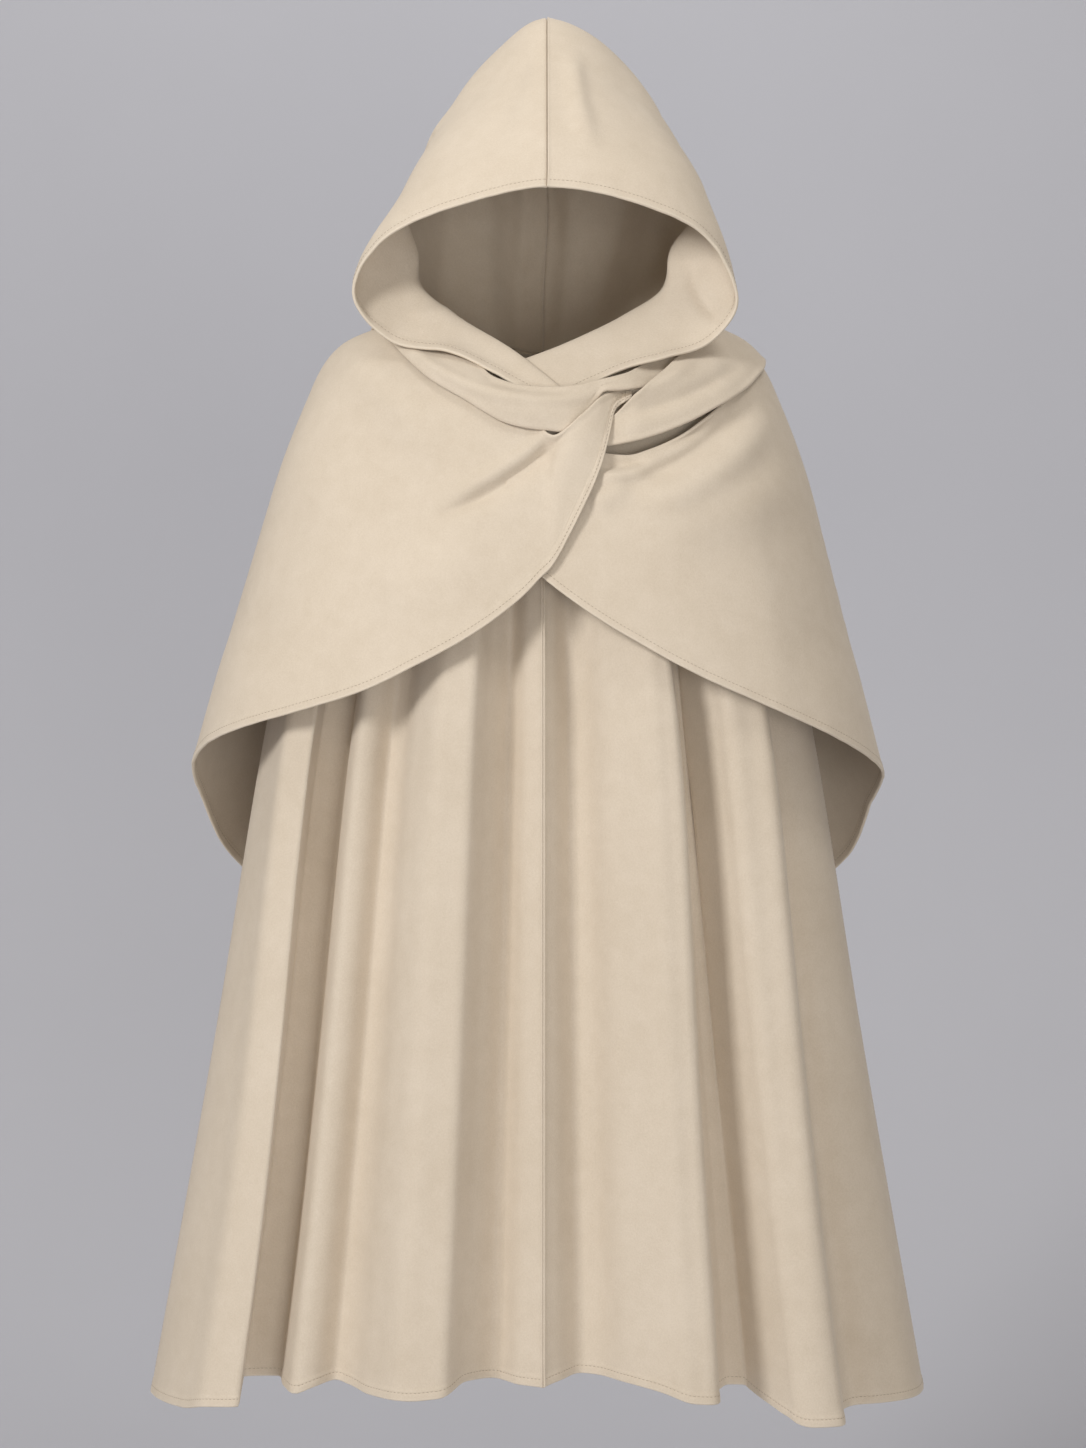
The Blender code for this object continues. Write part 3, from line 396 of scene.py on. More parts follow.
# Creases of every piece, each from one place to another on its front or back, by half width
# and height. Rise is how far the cloth stands out, or in where it is negative. Bow is how far
# the crease sags below a straight line, and skew widens its lower side.
CREASE_COLUMNS = "x0 z0 x1 z1 bow spread rise skew face"
CREASES = {
    "cape_left": table(
        CREASE_COLUMNS,
        (-205, 0, -105, -120, -8, 26, -8),
        (-98, -176, 30, -88, 8, 8, 7, 0.6),
        (-88, -158, 24, -78, 8, 7, -5),
        (-60, -215, -170, -265, 0, 32, -4),
        (-235, -150, -300, -330, 8, 34, 4),
        (-120, -20, -215, -420, 6, 26, -6, 0, "back"),
        (-60, -30, -95, -560, 0, 30, 6, 0, "back"),
    ),
    "cape_right": table(
        CREASE_COLUMNS,
        (62, -108, 180, -58, 13, 7, -6),
        (62, -117, 182, -68, 13, 7, 6, 0.3),
        (54, -130, 106, -122, 2, 6, 5),
        (54, -142, 108, -133, 2, 7, -5),
        (88, -143, 206, -54, 14, 11, 7, 0.3),
        (96, -172, 232, -72, 15, 17, -6),
        (50, -170, 84, -148, 0, 12, -4),
        (105, -196, 255, -142, 6, 28, -4),
        (235, -160, 292, -340, -8, 34, 4),
        (110, -20, 205, -430, -6, 26, -6, 0, "back"),
        (55, -30, 85, -560, 0, 30, 6, 0, "back"),
    ),
    "hood_left": table(
        CREASE_COLUMNS,
        (-20, 300, -60, 180, 6, 16, -2.5),
        (-132, 26, -92, 30, -3, 5, -3),
        (-120, 250, -95, -20, 0, 14, 6, 0, "back"),
        (-86, 250, -50, -20, 0, 17, -9, 0, "back"),
        (-30, 250, -22, -20, 0, 12, 6, 0, "back"),
    ),
    "hood_right": table(
        CREASE_COLUMNS,
        (22, 300, 38, 190, 3, 9, -5),
        (150, 78, 180, 20, 5, 6, -6),
        (118, 250, 96, -20, 0, 14, 6, 0, "back"),
        (82, 250, 44, -20, 0, 17, -9, 0, "back"),
        (28, 250, 20, -20, 0, 12, 6, 0, "back"),
    ),
    "band_left": table(
        CREASE_COLUMNS,
        (-150, 8, -20, -66, 12, 6, -3),
        (-60, -52, 60, -56, 10, 6, -3),
    ),
    "body_front_left": table(
        CREASE_COLUMNS,
        (-52, -230, -80, -1120, -4, 16, -4),
        (-120, -330, -150, -1120, 0, 20, -3),
    ),
    "body_front_right": table(
        CREASE_COLUMNS,
        (130, -230, 174, -1120, 0, 14, -6, -0.3),
        (212, -230, 286, -1120, 4, 13, -5),
        (66, -320, 84, -1120, 0, 20, -3),
    ),
    "band_right": table(
        CREASE_COLUMNS,
        (78, -78, 200, -22, 8, 9, -5),
        (74, -62, 150, -22, 5, 7, 4),
    ),
}


# Both halves of the cape, one row per line of cloth from the neck to the hem. Top is the
# height where the line starts, or nothing where it starts at the neck line, and lift is how
# far the cloth stands off the form.
CAPE_LEFT = table(
    "top_angle top top_lift hem_angle hem hem_lift",
    (90, None, 0, 90, -618, 0),
    (112, None, 0, 112, -611, 8),
    (133, None, 0, 133, -577, -4),
    (150, None, 0, 150, -524, 3),
    (166, None, 0, 166, -461, 4),
    (180, None, 0, 180, -431, 3),
    (196, None, 0, 194, -409, 1),
    (214, None, 0, 211, -391, 1),
    (231, None, 0, 228, -373, 0),
    (244, None, 1, 241, -354, 1),
    (251, -18, 3.5, 251, -328, 5),
    (257, -42, 5.5, 259, -302, 6),
    (263, -68, 5.5, 264.4, -278, 6),
    (268, -84, 5.5, 268, -257, 6),
    (270.2, -93, 5.4, 270, -240, 6.5),
    (271.5, -100, 12.5, 271, -232, 7),
    (273.4, -93, 17, 273.4, -204, 8),
    (275.6, -82.5, 17.5, 276, -174, 10),
    (278, -72, 17, 278.6, -145, 11),
    (280, -62.5, 15.5, 280.6, -119, 11.5),
    (281.9, -57, 11.5, 282, -97, 11.5),
    (284.2, -53, 7, 283, -79, 9.6),
    (286.4, -50.5, 5.5, 284.5, -69.5, 7),
    (288.6, -50, 5.2, 288, -61.5, 5.2),
)
CAPE_RIGHT = table(
    "top_angle top top_lift hem_angle hem hem_lift",
    (265.5, None, 0, 264, -168, 0),
    (267, None, 0, 266, -200, 0),
    (268.6, None, 0, 268, -224, 0),
    (270.5, None, 0, 270, -242.6, 0),
    (275, -60, 0, 274.6, -268, 0),
    (280, -116, 2, 280.4, -292, 0),
    (285, -117, 4, 285.4, -309, 0),
    (291, -110, 6, 291, -326.5, 0),
    (298, -98, 6.5, 298, -345, 0),
    (305, -82, 6, 305, -360, 0),
    (313, -63, 4, 313, -376, 1),
    (321, -44, 2, 320, -388, 0),
    (330, -20, 1, 328, -401, 0),
    (340, 8, 0, 338, -416, 0),
    (350, None, 0, 349, -430, 0),
    (362, None, 0, 361, -443, 0),
    (375, None, 0, 375, -468, 0),
    (391, None, 0, 391, -530, 3),
    (408, None, 0, 408, -578, -4),
    (429, None, 0, 429, -611, 8),
    (450, None, 0, 450, -618, 0),
)


def station_walk(count, extra):
    """Even steps along a table's rows, with the same number between each pair of rows."""
    return np.linspace(0, count - 1, (count - 1) * extra + 1)


def turning_walk(table, name, widest):
    """Steps along a table's rows, no step turning further about the garment than the widest."""
    angles = column(table, name)
    walk = [0.0]
    for row, turn in enumerate(np.abs(np.diff(angles))):
        count = max(1, int(np.ceil(turn / widest)))
        walk += list(row + np.arange(1, count + 1) / count)
    return np.array(walk)


def cape_grid(table, rows, widest):
    walk = turning_walk(table, "top_angle", widest)
    places = np.arange(len(table))
    neck = neck_height(CAPE_RINGS, CAPE_NECK, column(table, "top_angle"))
    filled = [dict(row, top=neck[n] if row["top"] is None else row["top"]) for n, row in enumerate(table)]
    take = {key: curve(places, column(filled, key), walk) for key in filled[0]}
    at_neck = np.array([row["top"] is None for row in table])
    held = at_neck[np.floor(walk).astype(int)] & at_neck[np.ceil(walk).astype(int)]
    neck = neck_height(CAPE_RINGS, CAPE_NECK, take["top_angle"])
    top = np.where(held, neck, take["top"])
    share = np.linspace(0.0, 1.0, rows)[:, None]
    height = spread_rows(CAPE_RINGS, top[None, :], take["hem"][None, :], share)
    fall = (top[None, :] - height) / (top - take["hem"])[None, :]
    angle = take["top_angle"] + (take["hem_angle"] - take["top_angle"]) * share
    lift = take["top_lift"] + (take["hem_lift"] - take["top_lift"]) * ease(0.0, 1.0, fall)
    return narrowed(standing_off(CAPE_RINGS, angle, height, lift))


# The two scarf bands, one row per place along the band from the back of the neck to the
# crossing. Puff is how far the middle stands out beyond its edges.
BAND_LEFT = table(
    "up_angle up up_lift low_angle low low_lift puff",
    (94, 1, 5, 94, -24, 5, 3),
    (118, 12, 5, 118, -12, 5, 3),
    (140, 27, 5, 142, 6, 5, 3),
    (160, 35, 5, 162, 22, 5, 3),
    (180, 38, 5, 182, 27, 5, 2),
    (202, 33, 5, 204, 24, 5, 2),
    (220, 20, 5, 224, 9, 5, 2),
    (233, 6, 5.5, 236, -15, 6, 3),
    (243, -5, 6, 246, -42, 7.5, 6),
    (251, -10, 6.5, 254.5, -62, 9.5, 8),
    (256, -21, 8, 259.5, -76, 10, 8),
    (259.5, -36.5, 11, 263.3, -86, 10, 8),
    (262.5, -43.5, 14, 266.5, -91, 10, 7.5),
    (267, -49.5, 15.5, 270.3, -94.5, 10, 7),
    (272, -50.5, 15.5, 273.6, -97, 9.5, 4),
    (276.5, -48, 15, 276.8, -83, 9, 2),
    (280, -43.5, 14.5, 279.8, -64, 9.5, 1),
    (283, -40.5, 14, 282, -54.4, 13.5, 1.5),
    (286, -37, 13, 284.6, -54, 12.5, 2),
    (288.5, -33, 10.5, 287.4, -52.5, 11.5, 2),
    (291.5, -26, 8, 290.4, -51, 9, 1),
    (296, -17, 5.5, 295, -46, 5.5, 0),
    (304, -8, 5, 303, -42, 5, 0),
)
BAND_RIGHT = table(
    "up_angle up up_lift low_angle low low_lift puff",
    (86, 1, 5, 86, -36, 5, 3),
    (64, 10, 5, 62, -32, 5, 4),
    (42, 27, 5, 40, -22, 5, 4),
    (20, 34, 4.5, 18, -14, 6.5, 1),
    (0, 37, 4.5, -2, -10, 5.5, 0),
    (-20, 30, 4.5, -22, -26, 6, 0),
    (-36, 14, 5, -36, -46, 8, 2),
    (-48, 1, 7, -49, -66, 11, 5),
    (-57, -14, 11, -59, -84, 11, 5),
    (-63.5, -33, 13.5, -67, -97, 10.5, 4),
    (-70.4, -55, 15, -72.5, -104.5, 9, 3),
    (-72.6, -62, 13.5, -75, -107, 7.5, 2),
    (-74.4, -68.5, 12, -77, -109, 5.5, 1),
    (-75.9, -75.5, 9.5, -78.8, -110, 5, 0.5),
    (-78, -84, 5.5, -80.8, -110, 5, 0),
    (-80, -88, 5, -83, -110, 5, 0),
)


def band_grid(table, rows, widest):
    walk = turning_walk(table, "up_angle", widest)
    places = np.arange(len(table))
    take = {key: curve(places, column(table, key), walk) for key in table[0]}
    share = np.linspace(0.0, 1.0, rows)[:, None]
    height = take["up"] + (take["low"] - take["up"]) * share
    angle = take["up_angle"] + (take["low_angle"] - take["up_angle"]) * share
    lift = take["up_lift"] + (take["low_lift"] - take["up_lift"]) * share
    lift = lift + take["puff"] * 4 * share * (1 - share)
    return narrowed(standing_off(CAPE_RINGS, angle, height, lift))


# Hood lines from the crown seam down to the cheek, one row per line from the front hem to the
# seam at the back. Each place is X outwards from the middle, Y and height.
HOOD_CROWN = table(
    "line top brow temple",
    ("hem", (0, -170, 146), (95, -161, 128), (163, -138, 98)),
    ("brim", (0, -158, 172), (101, -143, 158), (169, -112, 116)),
    ("roll", (0, -128, 215), (102, -100, 198), (156, -80, 148)),
    ("throat", (0, -98, 247), (96, -68, 226), (150, -52, 168)),
    ("side", (0, -60, 286), (87, -30, 256), (141, -20, 190)),
    ("crown", (0, 10, 349), (72, 32, 307), (123, 44, 226)),
    ("rear", (0, 100, 318), (58, 96, 282), (98, 98, 214)),
    ("back", (0, 150, 190), (0, 150, 160), (0, 146, 130)),
)
# The lower parts of the lines behind the lips.
HOOD_SIDES = table(
    "cheek jaw chin",
    ((140, -50, 104), (122, -55, 57), (105, -66, 37)),
    ((150, -18, 118), (130, -20, 74), (118, -26, 52)),
    ((146, 42, 140), (132, 40, 88), (118, 34, 54)),
    ((108, 96, 146), (98, 92, 92), (84, 84, 52)),
    ((0, 139, 100), (0, 130, 70), (0, 118, 40)),
)
# Where these lines end on the neck line, and how far they stand off it there.
FOOT_COLUMNS = "angle lift"
HOOD_FEET = {
    -1: table(
        FOOT_COLUMNS,
        (277, 6),
        (325, 0),
        (367, 0),
        (408, 0),
        (450, 0),
    ),
    1: table(
        FOOT_COLUMNS,
        (289, 0),
        (325, 0),
        (367, 0),
        (408, 0),
        (450, 0),
    ),
}
# The lips that cross at the front: X outwards, how far the cloth stands in front of the
# cape's form, and height. The lip at -X lies over the other.
LIP_COLUMNS = "cheek jaw chin collar end"
HOOD_LIPS = {
    -1: table(
        LIP_COLUMNS,
        ((191, -113, 45), (153, -102, 0), (93, 26, -13), (47, 16, -36.5), (-8, 9.5, -70)),
        ((184, -97, 55), (143, -94, 15), (88, 22, 2), (42, 15, -26), (-14, 10, -61)),
        ((133, -72, 90), (127, -78, 57), (80, 28, 21), (28, 18, -13), (-24, 11.5, -56)),
    ),
    1: table(
        LIP_COLUMNS,
        ((196, -113, 42), (169, -106, -1), (118, 26, -20), (76, 14.5, -33), (-4, 5.5, -74)),
        ((187, -97, 57), (153, -97, 13), (102, 22, -5), (60, 11, -22), (-14, 5.5, -46)),
        ((130, -72, 96), (127, -82, 56), (80, 28, 25), (24, 12, -3), (-24, 6.5, -22)),
    ),
}


def bend(values, walk, before=None, after=None):
    """Soft curve through evenly numbered places, with places beyond its ends if given."""
    values = np.asarray(values, float)
    before = 2 * values[:1] - values[1:2] if before is None else before[None]
    after = 2 * values[-1:] - values[-2:-1] if after is None else after[None]
    padded = np.concatenate([before, values, after])
    last = len(values) - 1
    cell = np.clip(np.floor(walk).astype(int), 0, last - 1)
    t = (np.asarray(walk) - cell).reshape((-1,) + (1,) * (values.ndim - 1))
    p, q, r, s = (padded[cell + k] for k in range(4))
    return q + t / 2 * (r - p + t * (2 * p - 5 * q + 4 * r - s + t * (3 * q - p - 3 * r + s)))


def front_face(x, height):
    """Depth of the cape's form at a place on its front."""
    wide, front, _ = ring_sizes(CAPE_RINGS, height)
    share = np.minimum(np.abs(x) / wide, 1.0)
    return -front * (1 - share**ROUNDNESS) ** (1 / ROUNDNESS)


def hood_foot(angle, lift):
    """A place just above the cape's neck edge."""
    height = neck_height(CAPE_RINGS, HOOD_NECK, angle)
    foot = standing_off(CAPE_RINGS, angle, height, lift)
    foot[..., 2] += HOOD_NECK_RISE
    return foot


def hood_places(side):
    """Places of every hood line, from the crown seam to the neck."""
    lines = []
    for number, row in enumerate(HOOD_CROWN):
        places = [row["top"], row["brow"], row["temple"]]
        if number < len(HOOD_LIPS[side]):
            lip = HOOD_LIPS[side][number]
            places += [lip["cheek"], lip["jaw"]]
            for key in ("chin", "collar", "end"):
                x, stand, height = lip[key]
                places.append((x, front_face(np.array(x), np.array(height)) - stand, height))
        else:
            lower = HOOD_SIDES[number - len(HOOD_LIPS[side])]
            row = HOOD_FEET[side][number - len(HOOD_LIPS[side])]
            foot = hood_foot(np.array(float(row["angle"])), np.array(float(row["lift"])))
            chin = np.array(lower["chin"], float)
            places += [lower["cheek"], lower["jaw"], tuple(chin), tuple((chin + foot) / 2), tuple(foot)]
        lines.append(places)
    return np.array(lines, float)


def hood_grid(side, extra_down, extra_along):
    lines = hood_places(side)
    other_half = np.array([-1.0, 1.0, 1.0])
    along = bend(lines, station_walk(lines.shape[0], extra_along), after=lines[-2] * other_half)
    down = np.swapaxes(along, 0, 1)
    grid = bend(down, station_walk(lines.shape[1], extra_down), before=down[1] * other_half)
    first = len(HOOD_LIPS[side])
    spots = station_walk(lines.shape[0], extra_along) - first
    behind = np.where(spots >= 0)[0]
    numbers = np.arange(len(HOOD_SIDES))
    angle = curve(numbers, column(HOOD_FEET[side], "angle"), spots[behind])
    foot = hood_foot(angle, curve(numbers, column(HOOD_FEET[side], "lift"), spots[behind]))
    for row, share in enumerate(np.linspace(1.0, 0.0, extra_down + 1)[:-1]):
        grid[-1 - row, behind] += (foot - grid[-1, behind]) * share
    grid[..., 0] *= side
    return grid


# Distances from an edge, closest first, at which a hem or a seam gets its lines of points.
HEM_LINES = (0.0, 0.5, 1.3, 2.6, 4.6, 6.6, 7.4, 8.0, 8.6, 9.6, 11.4, 14.0)
SEAM_LINES = (0.0, 0.7, 1.6, 3.0, 5.0, 8.0)
TOPSTITCHED_SEAM_LINES = (0.0, 0.7, 1.6, 3.0, 5.0, 7.2, 8.0, 8.8, 11.0)
PLAIN_LINES = (0.0, 0.6, 1.6, 4.0)
FOLDED_LINES = (0.0, 0.5, 1.3, 2.4, 3.8, 5.6, 8.0)
EDGE_LINES = {
    "hem": HEM_LINES,
    "seam": SEAM_LINES,
    "topstitched": TOPSTITCHED_SEAM_LINES,
    "folded": FOLDED_LINES,
    "plain": PLAIN_LINES,
}
STITCH_LINE = 8.0


def spaced(grid, axis, near_first, near_last, between):
    """The same cloth with its lines at set distances from two edges and evenly spaced between."""
    lines = np.moveaxis(grid, axis, 0)
    steps = np.linalg.norm(np.diff(lines, axis=0), axis=-1)
    run = np.concatenate([np.zeros((1, steps.shape[1])), np.cumsum(steps, axis=0)])
    near_first, near_last = np.array(near_first), np.array(near_last)
    result = np.empty((len(near_first) + between + len(near_last), lines.shape[1], 3))
    for line in range(lines.shape[1]):
        whole = run[-1, line]
        fit = min(1.0, 0.42 * whole / max(near_first[-1], near_last[-1]))
        first = near_first * fit
        last = whole - near_last[::-1] * fit
        middle = np.linspace(first[-1], last[0], between + 2)[1:-1]
        at = np.concatenate([first, middle, last])
        for axis_3d in range(3):
            result[:, line, axis_3d] = np.interp(at, run[:, line], lines[:, line, axis_3d])
    return np.moveaxis(result, 0, axis)


def edge_distances(grid):
    """How far every point is from each edge, measured along the cloth."""
    found = {}
    for axis, first, last in ((0, "first_row", "last_row"), (1, "first_col", "last_col")):
        steps = np.linalg.norm(np.diff(grid, axis=axis), axis=-1)
        run = np.cumsum(steps, axis=axis)
        run = np.concatenate([np.zeros_like(np.take(run, [0], axis=axis)), run], axis=axis)
        found[first] = run
        found[last] = np.take(run, [-1], axis=axis) - run
    return found


def cloth_normals(grid):
    """Direction the cloth faces at every point."""
    facing = np.cross(grid[1:, 1:] - grid[:-1, :-1], grid[1:, :-1] - grid[:-1, 1:])
    facing /= np.linalg.norm(facing, axis=-1, keepdims=True) + 1e-9
    total = np.zeros_like(grid)
    total[:-1, :-1] += facing
    total[:-1, 1:] += facing
    total[1:, 1:] += facing
    total[1:, :-1] += facing
    return total / (np.linalg.norm(total, axis=-1, keepdims=True) + 1e-9)


def laid_creases(grid, creases, held):
    """The cloth with its creases, each a soft trough or ridge from one place to another.

    Held is near nothing along the seams, so that the pieces still meet there.
    """
    normal = cloth_normals(grid)
    move = np.zeros(grid.shape[:2])
    for crease in creases:
        start = np.array([crease["x0"], crease["z0"]], float)
        run = np.array([crease["x1"], crease["z1"]], float) - start
        length = np.hypot(*run)
        run /= length
        rel_x = grid[..., 0] - start[0]
        rel_z = grid[..., 2] - start[1]
        along = (rel_x * run[0] + rel_z * run[1]) / length
        aside = rel_x * run[1] - rel_z * run[0]
        aside = aside - crease.get("bow", 0.0) * 4 * along * (1 - along)
        skew = crease.get("skew", 0.0)
        spread = crease["spread"] * np.where(aside > 0, 1.0 + skew, 1.0 - skew)
        ends = ease(-0.12, 0.25, along) * (1.0 - ease(0.7, 1.12, along))
        shape = np.exp(-((aside / spread) ** 2))
        face = crease.get("face", "front")
        side = grid[..., 1] < 0 if face == "front" else grid[..., 1] > 0
        move += crease["rise"] * ends * shape * side
    return grid + normal * (move * held)[..., None]


def held_at_seams(grid, edges):
    """One over the open cloth, falling to nothing along the seams."""
    away = edge_distances(grid)
    held = np.ones(grid.shape[:2])
    for edge, kind in edges.items():
        if kind in ("seam", "topstitched"):
            held *= ease(0.0, 30.0, away[edge])
    return held


# Finish of the cloth's edges, in millimetres: the step at a turned hem, the dent that the
# stitches pull in, the small waves that they gather, and the groove and welt of a seam.
HEM_STEP = {"before": 0.4, "after": 1.6}
HEM_WAVE = {"depth": 0.16, "from": 8.0, "to": 26.0}
STITCH_DENT = {"hem": 0.30, "topstitched": 0.25, "width": 0.8}
SEAM_WELT = {"raise": 0.4, "from": 6.0, "to": 9.0}
SEAM_GROOVE = {"depth": 1.3, "width": 3.2}
FOLD_ROLL = {"raise": 1.1, "from": 2.0, "to": 9.0}
TOPSTITCHED_RAISE = {"raise": 0.35, "from": 0.5, "to": 3.0}
EDGE_ROUND = {"folded": (2.4, 0.1), "other": (1.3, 0.3)}
# Band along each hem's edge, in millimetres, that is painted paler: a painted highlight where the edge
# catches the light.
EDGE_HIGHLIGHT = {"from": 0.5, "to": 3.0}


class Cloth:
    """A piece of cloth as two skins about a grid of points in millimetres."""

    def __init__(self, grid, edges, sizes):
        self.grid = grid
        self.edges = edges
        self.normal = cloth_normals(grid)
        self.away = edge_distances(grid)
        half = np.full(grid.shape[:2], sizes.wall / MM / 2)
        pucker = np.zeros(grid.shape[:2])
        self.edge_wear = np.zeros(grid.shape[:2])
        hem = sizes.hem_width / MM
        for edge, kind in edges.items():
            away = self.away[edge]
            if kind == "hem":
                step = ease(hem - HEM_STEP["before"], hem + HEM_STEP["after"], away)
                half += sizes.hem_raise / MM / 2 * (1 - step)
                half -= STITCH_DENT[kind] * np.exp(-(((away - STITCH_LINE) / STITCH_DENT["width"]) ** 2))
                other = self.away["first_col" if "row" in edge else "first_row"]
                wave = np.sin(other / 5.3) + 0.7 * np.sin(other / 8.9 + 1.3) + 0.6 * np.sin(other / 3.7 + 2.1)
                pucker += HEM_WAVE["depth"] * wave * (1 - ease(HEM_WAVE["from"], HEM_WAVE["to"], away))
                # Paler band along the hem's edge: a painted highlight where the edge catches the light.
                lit = 1 - ease(EDGE_HIGHLIGHT["from"], EDGE_HIGHLIGHT["to"], away)
                self.edge_wear = np.maximum(self.edge_wear, lit)
            if kind == "seam":
                half += SEAM_WELT["raise"] * (1 - ease(SEAM_WELT["from"], SEAM_WELT["to"], away))
                pucker -= SEAM_GROOVE["depth"] * (1 - ease(0.0, SEAM_GROOVE["width"], away))
            if kind == "folded":
                half += FOLD_ROLL["raise"] * (1 - ease(FOLD_ROLL["from"], FOLD_ROLL["to"], away))
            if kind == "topstitched":
                rise = TOPSTITCHED_RAISE
                half += rise["raise"] * (1 - ease(STITCH_LINE + rise["from"], STITCH_LINE + rise["to"], away))
                half -= STITCH_DENT[kind] * np.exp(-(((away - STITCH_LINE) / STITCH_DENT["width"]) ** 2))
        for edge, kind in edges.items():
            away = self.away[edge]
            radius, least = EDGE_ROUND["folded" if kind == "folded" else "other"]
            round_edge = np.sqrt(1 - (1 - np.clip(away / radius, 0, 1)) ** 2)
            half *= least + (1 - least) * round_edge
        self.outer = grid + self.normal * (pucker + half)[..., None]
        self.inner = grid + self.normal * (pucker - half)[..., None]

    def close_seams(self, seams):
        """Ends both skins in the plane of each seam."""
        for edge, axis, place in seams:
            self.outer[EDGES[edge] + (axis,)] = place
            self.inner[EDGES[edge] + (axis,)] = place

    def lean(self, lean):
        """Moves the cloth towards +X, more with height and less near the crown seam."""
        for skin in (self.outer, self.inner):
            aside = ease(0.0, lean["seam_reach"], np.abs(skin[..., 0]))
            step = lean["seam_by"] + (lean["by"] - lean["seam_by"]) * aside
            skin[..., 0] += step * ease(lean["from_height"], lean["to_height"], skin[..., 2])

    def mesh(self, name):
        rows, cols = self.grid.shape[:2]
        count = rows * cols
        index = np.arange(count).reshape(rows, cols)
        corners = (index[:-1, :-1], index[:-1, 1:], index[1:, 1:], index[1:, :-1])
        skin = np.stack([corner.ravel() for corner in corners], axis=1)
        loop = np.concatenate([index[0, :-1], index[:-1, -1], index[-1, :0:-1], index[:0:-1, 0]])
        after = np.roll(loop, -1)
        rim = np.stack([after, loop, loop + count, after + count], axis=1)
        faces = np.concatenate([skin, skin[:, ::-1] + count, rim])
        mesh = bpy.data.meshes.new(name)
        points = np.concatenate([self.outer.reshape(-1, 3), self.inner.reshape(-1, 3)]) * MM
        mesh.from_pydata(points.tolist(), [], faces.tolist())
        mesh.update()
        mesh.shade_smooth()
        place = np.zeros((2, rows, cols, 3), np.float32)
        place[..., 0] = self.away["first_col"] * MM
        place[..., 1] = self.away["first_row"] * MM
        place[1, ..., 2] = 0.01
        self.keep(mesh, "cloth_place", "FLOAT_VECTOR", "vector", place)
        # Mask of the painted edge highlight, handed to the material.
        self.keep(mesh, "edge_wear", "FLOAT", "value", np.stack([self.edge_wear, self.edge_wear]))
        return mesh

    @staticmethod
    def keep(mesh, name, kind, field, values):
        layer = mesh.attributes.new(name, kind, "POINT")
        layer.data.foreach_set(field, np.asarray(values, np.float32).ravel())

    def stitch_lines(self):
        """Rows of places and outward directions for the topstitching, on both skins."""
        lines = []
        for edge, kind in self.edges.items():
            if kind not in ("hem", "topstitched"):
                continue
            number = EDGE_LINES[kind].index(STITCH_LINE)
            number = number if "first" in edge else -1 - number
            take = (number, slice(None)) if "row" in edge else (slice(None), number)
            for skin, facing in ((self.outer, self.normal), (self.inner, -self.normal)):
                spare = 3
                places = skin[take][spare:-spare] + facing[take][spare:-spare] * 0.06
                lines.append((places, facing[take][spare:-spare]))
        return lines


def place_object(name, mesh, material):
    item = bpy.data.objects.new(name, mesh)
    bpy.context.scene.collection.objects.link(item)
    mesh.materials.clear()
    mesh.materials.append(material)
    return item


def closed_outwards(item):
    """Stops with an error if a piece's skin is open or faces inwards."""
    check = bmesh.new()
    check.from_mesh(item.data)
    open_edges = [edge for edge in check.edges if not edge.is_manifold]
    volume = check.calc_volume(signed=True)
    check.free()
    if open_edges or volume <= 0:
        raise RuntimeError(f"{item.name} isn't a closed skin that faces outwards")


class Wire:
    """A shader value that is written with as if it were a number."""

    def __init__(self, recipe, socket):
        self.recipe = recipe
        self.socket = socket

    def combine(self, operation, first, second):
        return self.recipe.node("ShaderNodeMath", {"operation": operation}, {0: first, 1: second})

    def __add__(self, other):
        return self.combine("ADD", self, other)

    def __radd__(self, other):
        return self.combine("ADD", other, self)

    def __sub__(self, other):
        return self.combine("SUBTRACT", self, other)

    def __rsub__(self, other):
        return self.combine("SUBTRACT", other, self)

    def __mul__(self, other):
        return self.combine("MULTIPLY", self, other)

    def __rmul__(self, other):
        return self.combine("MULTIPLY", other, self)


class Recipe:
    """A material, made one node at a time."""

    def __init__(self, name):
        self.material = bpy.data.materials.new(name)
        self.material.use_nodes = True
        self.tree = self.material.node_tree
        self.tree.nodes.clear()

    def node(self, kind, settings=None, inputs=None, output=0):
        item = self.tree.nodes.new(kind)
        for name, value in (settings or {}).items():
            setattr(item, name, value)
        for name, value in (inputs or {}).items():
            if isinstance(value, Wire):
                self.tree.links.new(value.socket, item.inputs[name])
            else:
                item.inputs[name].default_value = value
        return Wire(self, item.outputs[output])

    def blend(self, share, first, second):
        """Colour between two colours."""
        inputs = {"Factor": share, 6: first, 7: second}
        return self.node("ShaderNodeMix", {"data_type": "RGBA", "clamp_factor": True}, inputs, 2)

    def finish(self, surface):
        output = self.tree.nodes.new("ShaderNodeOutputMaterial")
        self.tree.links.new(surface.socket, output.inputs["Surface"])
        return self.material


